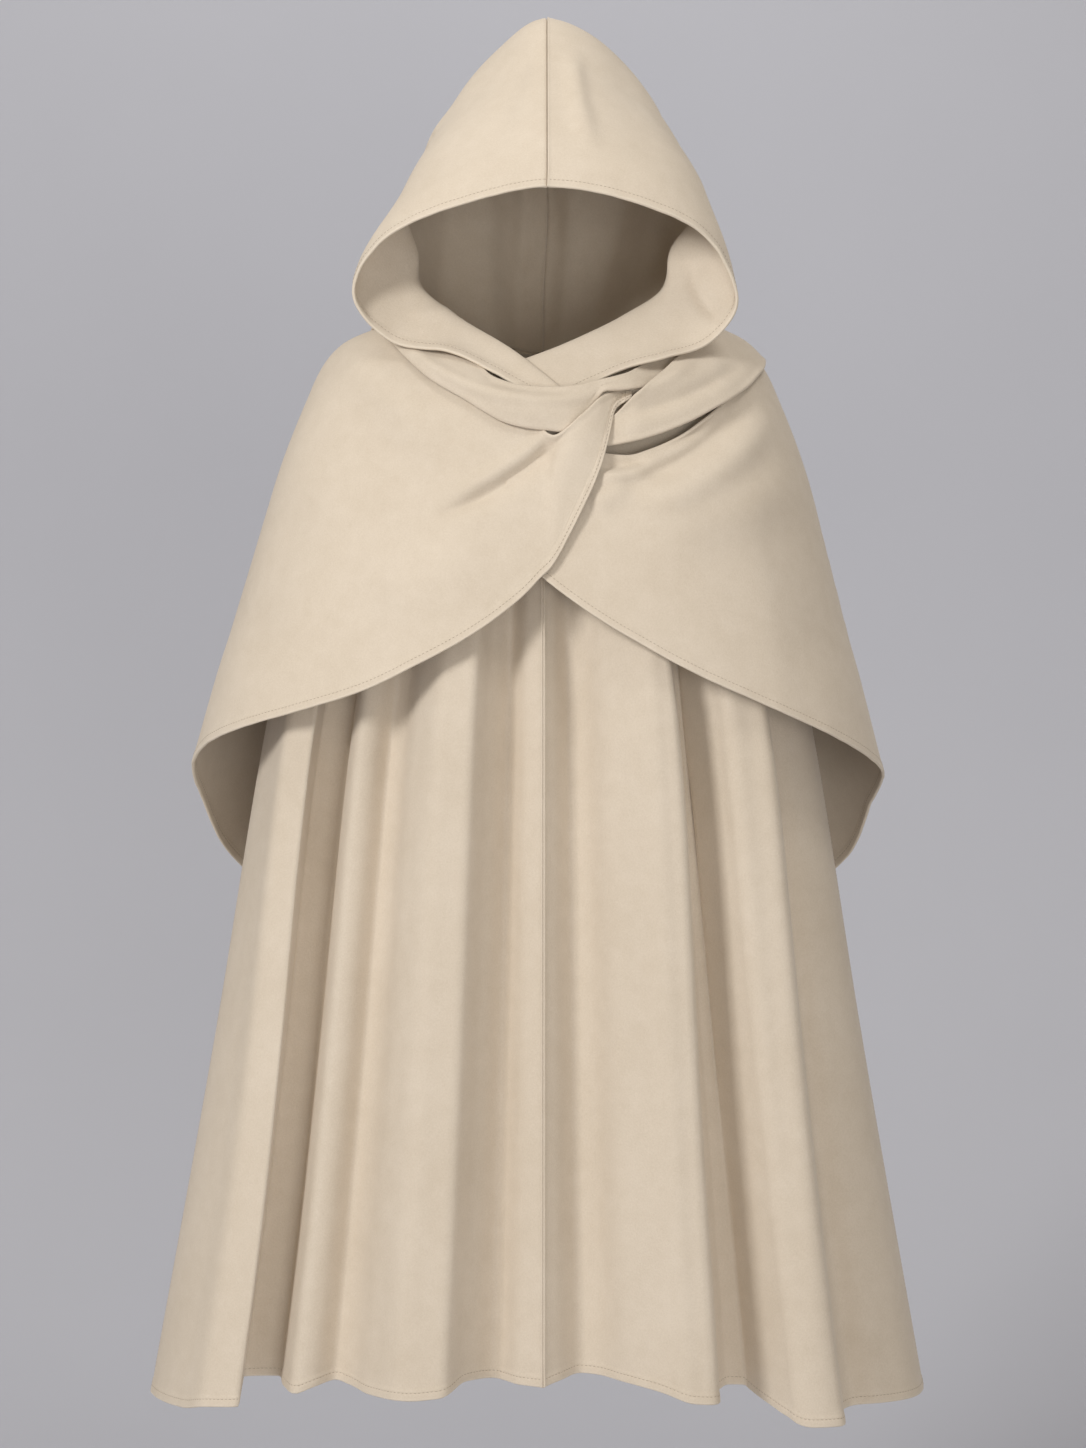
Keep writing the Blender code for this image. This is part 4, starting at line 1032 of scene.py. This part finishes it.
def felted_wool(colours):
    """Soft felted cloth: a short uneven nap, faint clouds of tone and paler hem edges, which are a painted
    highlight where the edges catch the light.
    """
    cloth = Recipe("felted_wool")
    place = cloth.node("ShaderNodeTexCoord", output=3)
    grain = cloth.node("ShaderNodeAttribute", {"attribute_name": "cloth_place"}, output=1)
    highlight = cloth.node("ShaderNodeAttribute", {"attribute_name": "edge_wear"}, output=2)
    clouds = cloth.node("ShaderNodeTexNoise", inputs={"Vector": place, "Scale": 9.0, "Detail": 3.0})
    patches = cloth.node("ShaderNodeTexNoise", inputs={"Vector": place, "Scale": 60.0, "Detail": 4.0})
    flecks = cloth.node("ShaderNodeTexNoise", inputs={"Vector": place, "Scale": 620.0, "Detail": 2.0})
    brushed = cloth.node("ShaderNodeMapping", inputs={"Vector": grain, "Scale": (900.0, 380.0, 100.0)})
    nap = cloth.node("ShaderNodeTexNoise", inputs={"Vector": brushed, "Scale": 1.0, "Detail": 3.0})
    tone = clouds * 0.45 + patches * 0.35 + flecks * 0.55 + nap * 0.25
    tone = cloth.node(
        "ShaderNodeMapRange",
        inputs={"Value": tone, "From Min": 0.60, "From Max": 1.0, "To Min": 0.0, "To Max": 1.0},
    )
    mixed = cloth.blend(tone, tuple(colours.shade), tuple(colours.cloth))
    # Hem edges blended towards the paler edge colour: a painted highlight.
    mixed = cloth.blend(highlight * 0.5, mixed, tuple(colours.lit))
    relief = nap * 0.5 + flecks * 0.35 + patches * 0.5
    bump = cloth.node("ShaderNodeBump", inputs={"Height": relief, "Strength": 0.35, "Distance": 0.0009})
    rough = 0.84 + flecks * 0.14
    surface = cloth.node(
        "ShaderNodeBsdfPrincipled",
        inputs={
            "Base Color": mixed,
            "Roughness": rough,
            "Normal": bump,
            "Specular IOR Level": 0.22,
            "Sheen Weight": 0.22,
            "Sheen Roughness": 0.55,
            "Sheen Tint": (1.0, 0.94, 0.86, 1.0),
        },
    )
    return cloth.finish(surface)


def sewing_thread(colours):
    """Matt thread, a little darker than the cloth."""
    thread = Recipe("sewing_thread")
    place = thread.node("ShaderNodeTexCoord", output=3)
    ply = thread.node("ShaderNodeTexNoise", inputs={"Vector": place, "Scale": 1500.0, "Detail": 1.0})
    tint = tuple(0.72 * part for part in tuple(colours.thread)[:3]) + (1.0,)
    mixed = thread.blend(ply, tint, tuple(colours.thread))
    inputs = {"Base Color": mixed, "Roughness": 0.75, "Specular IOR Level": 0.3}
    return thread.finish(thread.node("ShaderNodeBsdfPrincipled", inputs=inputs))


def studio_paper(colours):
    """Plain pale backdrop paper with a very faint tooth, clear when seen from its back."""
    paper = Recipe("studio_paper")
    place = paper.node("ShaderNodeTexCoord", output=3)
    tooth = paper.node("ShaderNodeTexNoise", inputs={"Vector": place, "Scale": 3.0, "Detail": 2.0})
    darker = tuple(0.97 * part for part in tuple(colours.backdrop)[:3]) + (1.0,)
    mixed = paper.blend(tooth, darker, tuple(colours.backdrop))
    inputs = {"Base Color": mixed, "Roughness": 0.95, "Specular IOR Level": 0.1}
    sheet = paper.node("ShaderNodeBsdfPrincipled", inputs=inputs)
    from_behind = paper.node("ShaderNodeNewGeometry", output=6)
    clear = paper.node("ShaderNodeBsdfTransparent")
    return paper.finish(paper.node("ShaderNodeMixShader", inputs={0: from_behind, 1: sheet, 2: clear}))


def stitch_tree():
    """Geometry nodes that sew a row of stitches along each guide line."""
    tree = bpy.data.node_groups.new("topstitching", "GeometryNodeTree")
    face = tree.interface
    face.new_socket("Geometry", in_out="INPUT", socket_type="NodeSocketGeometry")
    for name, default in (("Pitch", 0.0042), ("Stitch length", 0.0031), ("Thread width", 0.0006)):
        size = face.new_socket(name, in_out="INPUT", socket_type="NodeSocketFloat")
        size.default_value = default
    face.new_socket("Thread", in_out="INPUT", socket_type="NodeSocketMaterial")
    face.new_socket("Geometry", in_out="OUTPUT", socket_type="NodeSocketGeometry")
    nodes, link = tree.nodes, tree.links.new
    given = nodes.new("NodeGroupInput")
    result = nodes.new("NodeGroupOutput")
    line = nodes.new("GeometryNodeMeshToCurve")
    link(given.outputs["Geometry"], line.inputs["Mesh"])
    even = nodes.new("GeometryNodeResampleCurve")
    even.mode = "LENGTH"
    link(line.outputs["Curve"], even.inputs["Curve"])
    link(given.outputs["Pitch"], even.inputs["Length"])
    outward = nodes.new("GeometryNodeInputNamedAttribute")
    outward.data_type = "FLOAT_VECTOR"
    outward.inputs["Name"].default_value = "outward"
    along = nodes.new("GeometryNodeInputTangent")
    turn = nodes.new("FunctionNodeAxesToRotation")
    turn.primary_axis = "Z"
    turn.secondary_axis = "X"
    link(along.outputs["Tangent"], turn.inputs["Primary Axis"])
    link(outward.outputs["Attribute"], turn.inputs["Secondary Axis"])
    uneven = nodes.new("FunctionNodeRandomValue")
    uneven.data_type = "FLOAT"
    uneven.inputs["Min"].default_value = 0.88
    uneven.inputs["Max"].default_value = 1.06
    uneven.inputs["Seed"].default_value = 7
    length = nodes.new("ShaderNodeMath")
    length.operation = "MULTIPLY"
    link(given.outputs["Stitch length"], length.inputs[0])
    link(uneven.outputs["Value"], length.inputs[1])
    size = nodes.new("ShaderNodeCombineXYZ")
    link(given.outputs["Thread width"], size.inputs["X"])
    link(given.outputs["Thread width"], size.inputs["Y"])
    link(length.outputs["Value"], size.inputs["Z"])
    bead = nodes.new("GeometryNodeMeshIcoSphere")
    bead.inputs["Radius"].default_value = 0.5
    bead.inputs["Subdivisions"].default_value = 1
    sewn = nodes.new("GeometryNodeInstanceOnPoints")
    link(even.outputs["Curve"], sewn.inputs["Points"])
    link(bead.outputs["Mesh"], sewn.inputs["Instance"])
    link(turn.outputs["Rotation"], sewn.inputs["Rotation"])
    link(size.outputs["Vector"], sewn.inputs["Scale"])
    real = nodes.new("GeometryNodeRealizeInstances")
    link(sewn.outputs["Instances"], real.inputs["Geometry"])
    paint = nodes.new("GeometryNodeSetMaterial")
    link(real.outputs["Geometry"], paint.inputs["Geometry"])
    link(given.outputs["Thread"], paint.inputs["Material"])
    link(paint.outputs["Geometry"], result.inputs["Geometry"])
    return tree


def sewn_stitches(name, lines, sizes, tree, thread):
    """Turns guide lines into one plain mesh of stitches."""
    points, outward, edges = [], [], []
    for places, facing in lines:
        first = len(points)
        points += (places * MM).tolist()
        outward += facing.tolist()
        edges += [(first + n, first + n + 1) for n in range(len(places) - 1)]
    guide_mesh = bpy.data.meshes.new(name + "_guide")
    guide_mesh.from_pydata(points, edges, [])
    layer = guide_mesh.attributes.new("outward", "FLOAT_VECTOR", "POINT")
    layer.data.foreach_set("vector", np.array(outward, np.float32).ravel())
    guide = bpy.data.objects.new(name + "_guide", guide_mesh)
    bpy.context.scene.collection.objects.link(guide)
    sewing = guide.modifiers.new("topstitching", "NODES")
    sewing.node_group = tree
    wanted = {
        "Pitch": sizes.stitch_pitch,
        "Stitch length": sizes.stitch_length,
        "Thread width": sizes.thread_width,
        "Thread": thread,
    }
    for socket in tree.interface.items_tree:
        if socket.in_out == "INPUT" and socket.name in wanted:
            sewing[socket.identifier] = wanted[socket.name]
    graph = bpy.context.evaluated_depsgraph_get()
    mesh = bpy.data.meshes.new_from_object(guide.evaluated_get(graph))
    mesh.name = name
    guide.modifiers.remove(sewing)
    bpy.data.objects.remove(guide)
    bpy.data.meshes.remove(guide_mesh)
    if not mesh.polygons:
        raise RuntimeError(f"{name} came out with no stitches")
    mesh.shade_smooth()
    return place_object(name, mesh, thread)


def make_piece(context, node, grid, edges, seams=(), lean=None):
    """Makes one cloth piece and its stitching, and lets them stand for the piece's solid."""
    cloak = context.scene.cloak
    grid = laid_creases(grid, CREASES.get(node, ()), held_at_seams(grid, edges))
    cloth = Cloth(grid, edges, cloak.sizes)
    cloth.close_seams(seams)
    if lean:
        cloth.lean(lean)
    piece = place_object(node + "_cloth", cloth.mesh(node + "_cloth"), kept_material("felted_wool"))
    closed_outwards(piece)
    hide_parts(node)
    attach(piece, BODY)
    lines = cloth.stitch_lines()
    if lines:
        name = node + "_stitches"
        stitches = sewn_stitches(name, lines, cloak.sizes, kept_tree(), kept_material("sewing_thread"))
        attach(stitches, BODY)
    cut = next(row for row in CUTS if row["node"] == node)
    return piece


MATERIALS = {"felted_wool": felted_wool, "sewing_thread": sewing_thread, "studio_paper": studio_paper}


def kept_material(name):
    found = bpy.data.materials.get(name)
    return found or MATERIALS[name](bpy.context.scene.cloak.colours)


def kept_tree():
    return bpy.data.node_groups.get("topstitching") or stitch_tree()


# The flat cut of every piece, in metres and square metres, and what it hangs from or lies on.
CUTS = table(
    "node width length area held rests_on",
    ("hood_left", 0.46, 0.50, 0.150, "draped", ["cape_left"]),
    ("hood_right", 0.46, 0.50, 0.150, "draped", ["cape_right"]),
    ("cape_left", 0.95, 0.68, 0.41, "draped", ["body_front_left"]),
    ("cape_right", 0.85, 0.68, 0.41, "draped", ["body_front_right"]),
    ("band_left", 0.09, 0.52, 0.024, "folded", ["cape_left"]),
    ("band_right", 0.10, 0.50, 0.036, "folded", ["cape_right"]),
    ("body_front_left", 0.72, 1.16, 0.56, "hung", []),
    ("body_front_right", 0.70, 1.16, 0.54, "hung", []),
    ("body_back", 1.15, 1.18, 0.93, "hung", []),
)


class CloakSizes(bpy.types.PropertyGroup):
    """Sizes of the cloth and its sewing."""

    wall: bpy.props.FloatProperty(
        name="Cloth thickness", description="Thickness of the cloth", default=0.002, unit="LENGTH"
    )
    hem_width: bpy.props.FloatProperty(
        name="Hem width", description="Width of the turned hems", default=0.0095, unit="LENGTH"
    )
    hem_raise: bpy.props.FloatProperty(
        name="Hem thickness", description="How much thicker a hem is", default=0.0012, unit="LENGTH"
    )
    stitch_pitch: bpy.props.FloatProperty(
        name="Stitch pitch", description="From one stitch to the next", default=0.0042, unit="LENGTH"
    )
    stitch_length: bpy.props.FloatProperty(
        name="Stitch length", description="Length of a stitch", default=0.0031, unit="LENGTH"
    )
    thread_width: bpy.props.FloatProperty(
        name="Thread width", description="Width of the sewing thread", default=0.0006, unit="LENGTH"
    )


class CloakColours(bpy.types.PropertyGroup):
    """Colours of the cloth, the thread and the studio."""

    cloth: bpy.props.FloatVectorProperty(
        name="Cloth", description="Main colour of the cloth", subtype="COLOR", size=4,
        default=(0.66, 0.57, 0.46, 1.0),
    )
    shade: bpy.props.FloatVectorProperty(
        name="Deeper tone", description="Colour of the cloth's darker flecks", subtype="COLOR", size=4,
        default=(0.585, 0.495, 0.385, 1.0),
    )
    # Paler colour painted along the hem edges: a painted highlight where they catch the light.
    lit: bpy.props.FloatVectorProperty(
        name="Painted edge highlight", description="Colour of the hems' worn edges", subtype="COLOR", size=4,
        default=(0.76, 0.67, 0.54, 1.0),
    )
    thread: bpy.props.FloatVectorProperty(
        name="Thread", description="Colour of the sewing thread", subtype="COLOR", size=4,
        default=(0.42, 0.34, 0.25, 1.0),
    )
    backdrop: bpy.props.FloatVectorProperty(
        name="Backdrop", description="Colour of the studio's floor and wall", subtype="COLOR", size=4,
        default=(0.55, 0.553, 0.595, 1.0),
    )


class CloakStudio(bpy.types.PropertyGroup):
    """The studio's camera and lights."""

    camera_distance: bpy.props.FloatProperty(
        name="Camera distance", description="From the camera to the middle of the cloak", default=3.6,
        unit="LENGTH",
    )
    camera_height: bpy.props.FloatProperty(
        name="Camera height", description="Height of the camera against the neck", default=-0.386,
        unit="LENGTH",
    )
    view_height: bpy.props.FloatProperty(
        name="View height", description="Height of the picture at the cloak", default=1.50592, unit="LENGTH"
    )
    floor_height: bpy.props.FloatProperty(
        name="Floor height", description="Height of the floor against the neck", default=-1.45, unit="LENGTH"
    )
    key_power: bpy.props.FloatProperty(
        name="Main light", description="Power of the soft light at the front left", default=104.0,
        unit="POWER",
    )
    fill_power: bpy.props.FloatProperty(
        name="Fill light", description="Power of the weak light low at the front right", default=40.0,
        unit="POWER",
    )
    top_power: bpy.props.FloatProperty(
        name="Top light", description="Power of the weak light above the right shoulder", default=22.0,
        unit="POWER",
    )
    backdrop_power: bpy.props.FloatProperty(
        name="Backdrop light", description="Power of the light on the backdrop", default=24.0, unit="POWER"
    )
    room_light: bpy.props.FloatProperty(
        name="Room light", description="Strength of the even light all round", default=0.31
    )


class CloakSettings(bpy.types.PropertyGroup):
    """What can be changed about the cloak and its studio."""

    sizes: bpy.props.PointerProperty(type=CloakSizes)
    colours: bpy.props.PointerProperty(type=CloakColours)
    studio: bpy.props.PointerProperty(type=CloakStudio)


class CLOAK_OT_hood(bpy.types.Operator):
    """Make both halves of the hood, from the crown seam to the lips that cross at the front."""

    bl_idname = "cloak.hood"
    bl_label = "Hood halves"

    def execute(self, context):
        edges = {"first_row": "seam", "last_col": "seam", "first_col": "hem", "last_row": "plain"}
        for node, side in (("hood_left", -1), ("hood_right", 1)):
            grid = hood_grid(side, 20, 20)
            grid = spaced(grid, 0, SEAM_LINES, PLAIN_LINES, 90)
            grid = spaced(grid, 1, HEM_LINES, SEAM_LINES, 74)
            middle = side * SEAM_GAP / 2
            seams = (("first_row", 0, middle), ("last_col", 0, middle))
            make_piece(context, node, grid, edges, seams, HOOD_LEAN)
        return {"FINISHED"}


class CLOAK_OT_cape(bpy.types.Operator):
    """Make both halves of the shoulder cape with their curved hems."""

    bl_idname = "cloak.cape"
    bl_label = "Shoulder cape"

    def execute(self, context):
        left = cape_grid(CAPE_LEFT, 240, 0.9)
        left = spaced(left, 0, FOLDED_LINES, HEM_LINES, 90)
        left = spaced(left, 1, SEAM_LINES, HEM_LINES, 190)
        edges = {"first_col": "seam", "last_row": "hem", "last_col": "hem", "first_row": "folded"}
        make_piece(context, "cape_left", left, edges, (("first_col", 0, -SEAM_GAP / 2),))
        right = cape_grid(CAPE_RIGHT, 240, 0.9)
        right = spaced(right, 0, FOLDED_LINES, HEM_LINES, 90)
        right = spaced(right, 1, PLAIN_LINES, SEAM_LINES, 180)
        edges = {"last_col": "seam", "last_row": "hem", "first_col": "plain", "first_row": "folded"}
        make_piece(context, "cape_right", right, edges, (("last_col", 0, SEAM_GAP / 2),))
        return {"FINISHED"}


class CLOAK_OT_bands(bpy.types.Operator):
    """Make the two scarf bands that pass through each other at the throat."""

    bl_idname = "cloak.bands"
    bl_label = "Scarf bands"

    def execute(self, context):
        edges = {"first_row": "folded", "last_row": "folded", "first_col": "plain", "last_col": "plain"}
        for node, table in (("band_left", BAND_LEFT), ("band_right", BAND_RIGHT)):
            grid = band_grid(table, 60, 0.8)
            grid = spaced(grid, 0, FOLDED_LINES, FOLDED_LINES, 26)
            grid = spaced(grid, 1, PLAIN_LINES, PLAIN_LINES, 170)
            make_piece(context, node, grid, edges)
        return {"FINISHED"}


class CLOAK_OT_body(bpy.types.Operator):
    """Make the three panels of the long body with their folds and waved hem."""

    bl_idname = "cloak.body"
    bl_label = "Long body"

    def execute(self, context):
        gap = SEAM_GAP / 2
        panels = (
            ("body_front_left", BODY_LEFT_FOLDS, -1, ("topstitched", "seam"), 120,
             (("first_col", 1, -gap), ("last_col", 0, -gap))),
            ("body_front_right", BODY_RIGHT_FOLDS, -1, ("seam", "topstitched"), 120,
             (("first_col", 0, gap), ("last_col", 1, -gap))),
            ("body_back", BODY_BACK_FOLDS, 1, ("topstitched", "topstitched"), 150,
             (("first_col", 1, gap), ("last_col", 1, gap))),
        )
        for node, folds, side, kinds, between, seams in panels:
            grid = body_grid(node, folds, side, 0.008, 420)
            grid = spaced(grid, 0, PLAIN_LINES, HEM_LINES, 130)
            grid = spaced(grid, 1, EDGE_LINES[kinds[0]], EDGE_LINES[kinds[1]], between)
            edges = {"first_col": kinds[0], "last_col": kinds[1], "last_row": "hem", "first_row": "plain"}
            make_piece(context, node, grid, edges, seams)
        return {"FINISHED"}


# The soft lights, in metres. A light without an aim points at the middle of the cloak.
LIGHTS = table(
    "name place size power aim",
    ("main_light", (-2.6, -3.0, 1.4), 1.0, "key_power"),
    ("fill_light", (0.8, -3.7, -0.7), 1.6, "fill_power"),
    ("top_light", (1.2, -1.5, 2.6), 1.0, "top_power", (0.0, 0.0, 0.1)),
    ("backdrop_light", (0.0, 0.6, 2.6), 2.5, "backdrop_power", (0.0, 2.4, 0.0)),
)
ROOM_TINT = (1.0, 0.93, 0.83, 1.0)


class CLOAK_OT_stage(bpy.types.Operator):
    """Set up the pale studio, its soft lights and the camera."""

    bl_idname = "cloak.stage"
    bl_label = "Studio"

    def execute(self, context):
        studio = context.scene.cloak.studio
        backdrop = place_object("studio_backdrop", backdrop_mesh(studio), kept_material("studio_paper"))
        aim = (0.0, 0.0, studio.camera_height)
        for light in LIGHTS:
            power = getattr(studio, light["power"])
            soft_light(light["name"], light["place"], light.get("aim", aim), light["size"], power)
        world = bpy.data.worlds.new("studio_room")
        world.use_nodes = True
        sky = world.node_tree.nodes["Background"]
        sky.inputs["Color"].default_value = ROOM_TINT
        sky.inputs["Strength"].default_value = studio.room_light
        context.scene.world = world
        context.scene.view_settings.view_transform = "Standard"
        camera_data = bpy.data.cameras.new("camera")
        camera_data.sensor_width = 36.0
        camera_data.lens = camera_data.sensor_width * studio.camera_distance / studio.view_height
        camera = bpy.data.objects.new("camera", camera_data)
        context.scene.collection.objects.link(camera)
        camera.location = (0.0, -studio.camera_distance, studio.camera_height)
        camera.rotation_euler = (np.radians(90.0), 0.0, 0.0)
        context.scene.camera = camera
        return {"FINISHED"}


def backdrop_mesh(studio):
    """A floor that sweeps up into a wall behind."""
    floor, front, bend_start, radius, top, half = studio.floor_height, -7.0, 1.1, 1.5, 4.5, 8.0
    profile = [(front, floor), (bend_start, floor)]
    for turn in np.radians(np.arange(6.0, 91.0, 6.0)):
        profile.append((bend_start + radius * np.sin(turn), floor + radius * (1 - np.cos(turn))))
    profile.append((bend_start + radius, top))
    points = [(x, y, z) for x in (-half, half) for y, z in profile]
    count = len(profile)
    faces = [(n, n + count, n + count + 1, n + 1) for n in range(count - 1)]
    mesh = bpy.data.meshes.new("studio_backdrop")
    mesh.from_pydata(points, [], faces)
    mesh.update()
    mesh.shade_smooth()
    return mesh


def soft_light(name, place, aim, size, power):
    """A large square light turned towards a place."""
    data = bpy.data.lights.new(name, "AREA")
    data.size = size
    data.energy = power
    item = bpy.data.objects.new(name, data)
    bpy.context.scene.collection.objects.link(item)
    item.location = place
    heading = np.array(aim) - np.array(place)
    flat = np.hypot(heading[0], heading[1])
    item.rotation_euler = (
        np.radians(90.0) + np.arctan2(heading[2], flat),
        0.0,
        np.arctan2(-heading[0], heading[1]),
    )
    return item


class CLOAK_PT_panel(bpy.types.Panel):
    """Lists the cloak's pieces, sizes and colours."""

    bl_idname = "CLOAK_PT_panel"
    bl_label = "Hooded cloak"
    bl_space_type = "VIEW_3D"
    bl_region_type = "UI"
    bl_category = "Cloak"

    def draw(self, context):
        for group in ("sizes", "colours", "studio"):
            settings = getattr(context.scene.cloak, group)
            for name in settings.bl_rna.properties.keys():
                if name not in ("rna_type", "name"):
                    self.layout.prop(settings, name)
        for operator in PIECES:
            self.layout.operator(operator.bl_idname)


PIECES = (CLOAK_OT_hood, CLOAK_OT_cape, CLOAK_OT_bands, CLOAK_OT_body, CLOAK_OT_stage)
CLASSES = (CloakSizes, CloakColours, CloakStudio, CloakSettings) + PIECES + (CLOAK_PT_panel,)


def register():
    for item in CLASSES:
        bpy.utils.register_class(item)
    bpy.types.Scene.cloak = bpy.props.PointerProperty(type=CloakSettings)


def unregister():
    del bpy.types.Scene.cloak
    for item in reversed(CLASSES):
        bpy.utils.unregister_class(item)


def main():
    register()
    for operator in PIECES:
        group, name = operator.bl_idname.split(".")
        getattr(getattr(bpy.ops, group), name)()


if __name__ == "__main__":
    main()
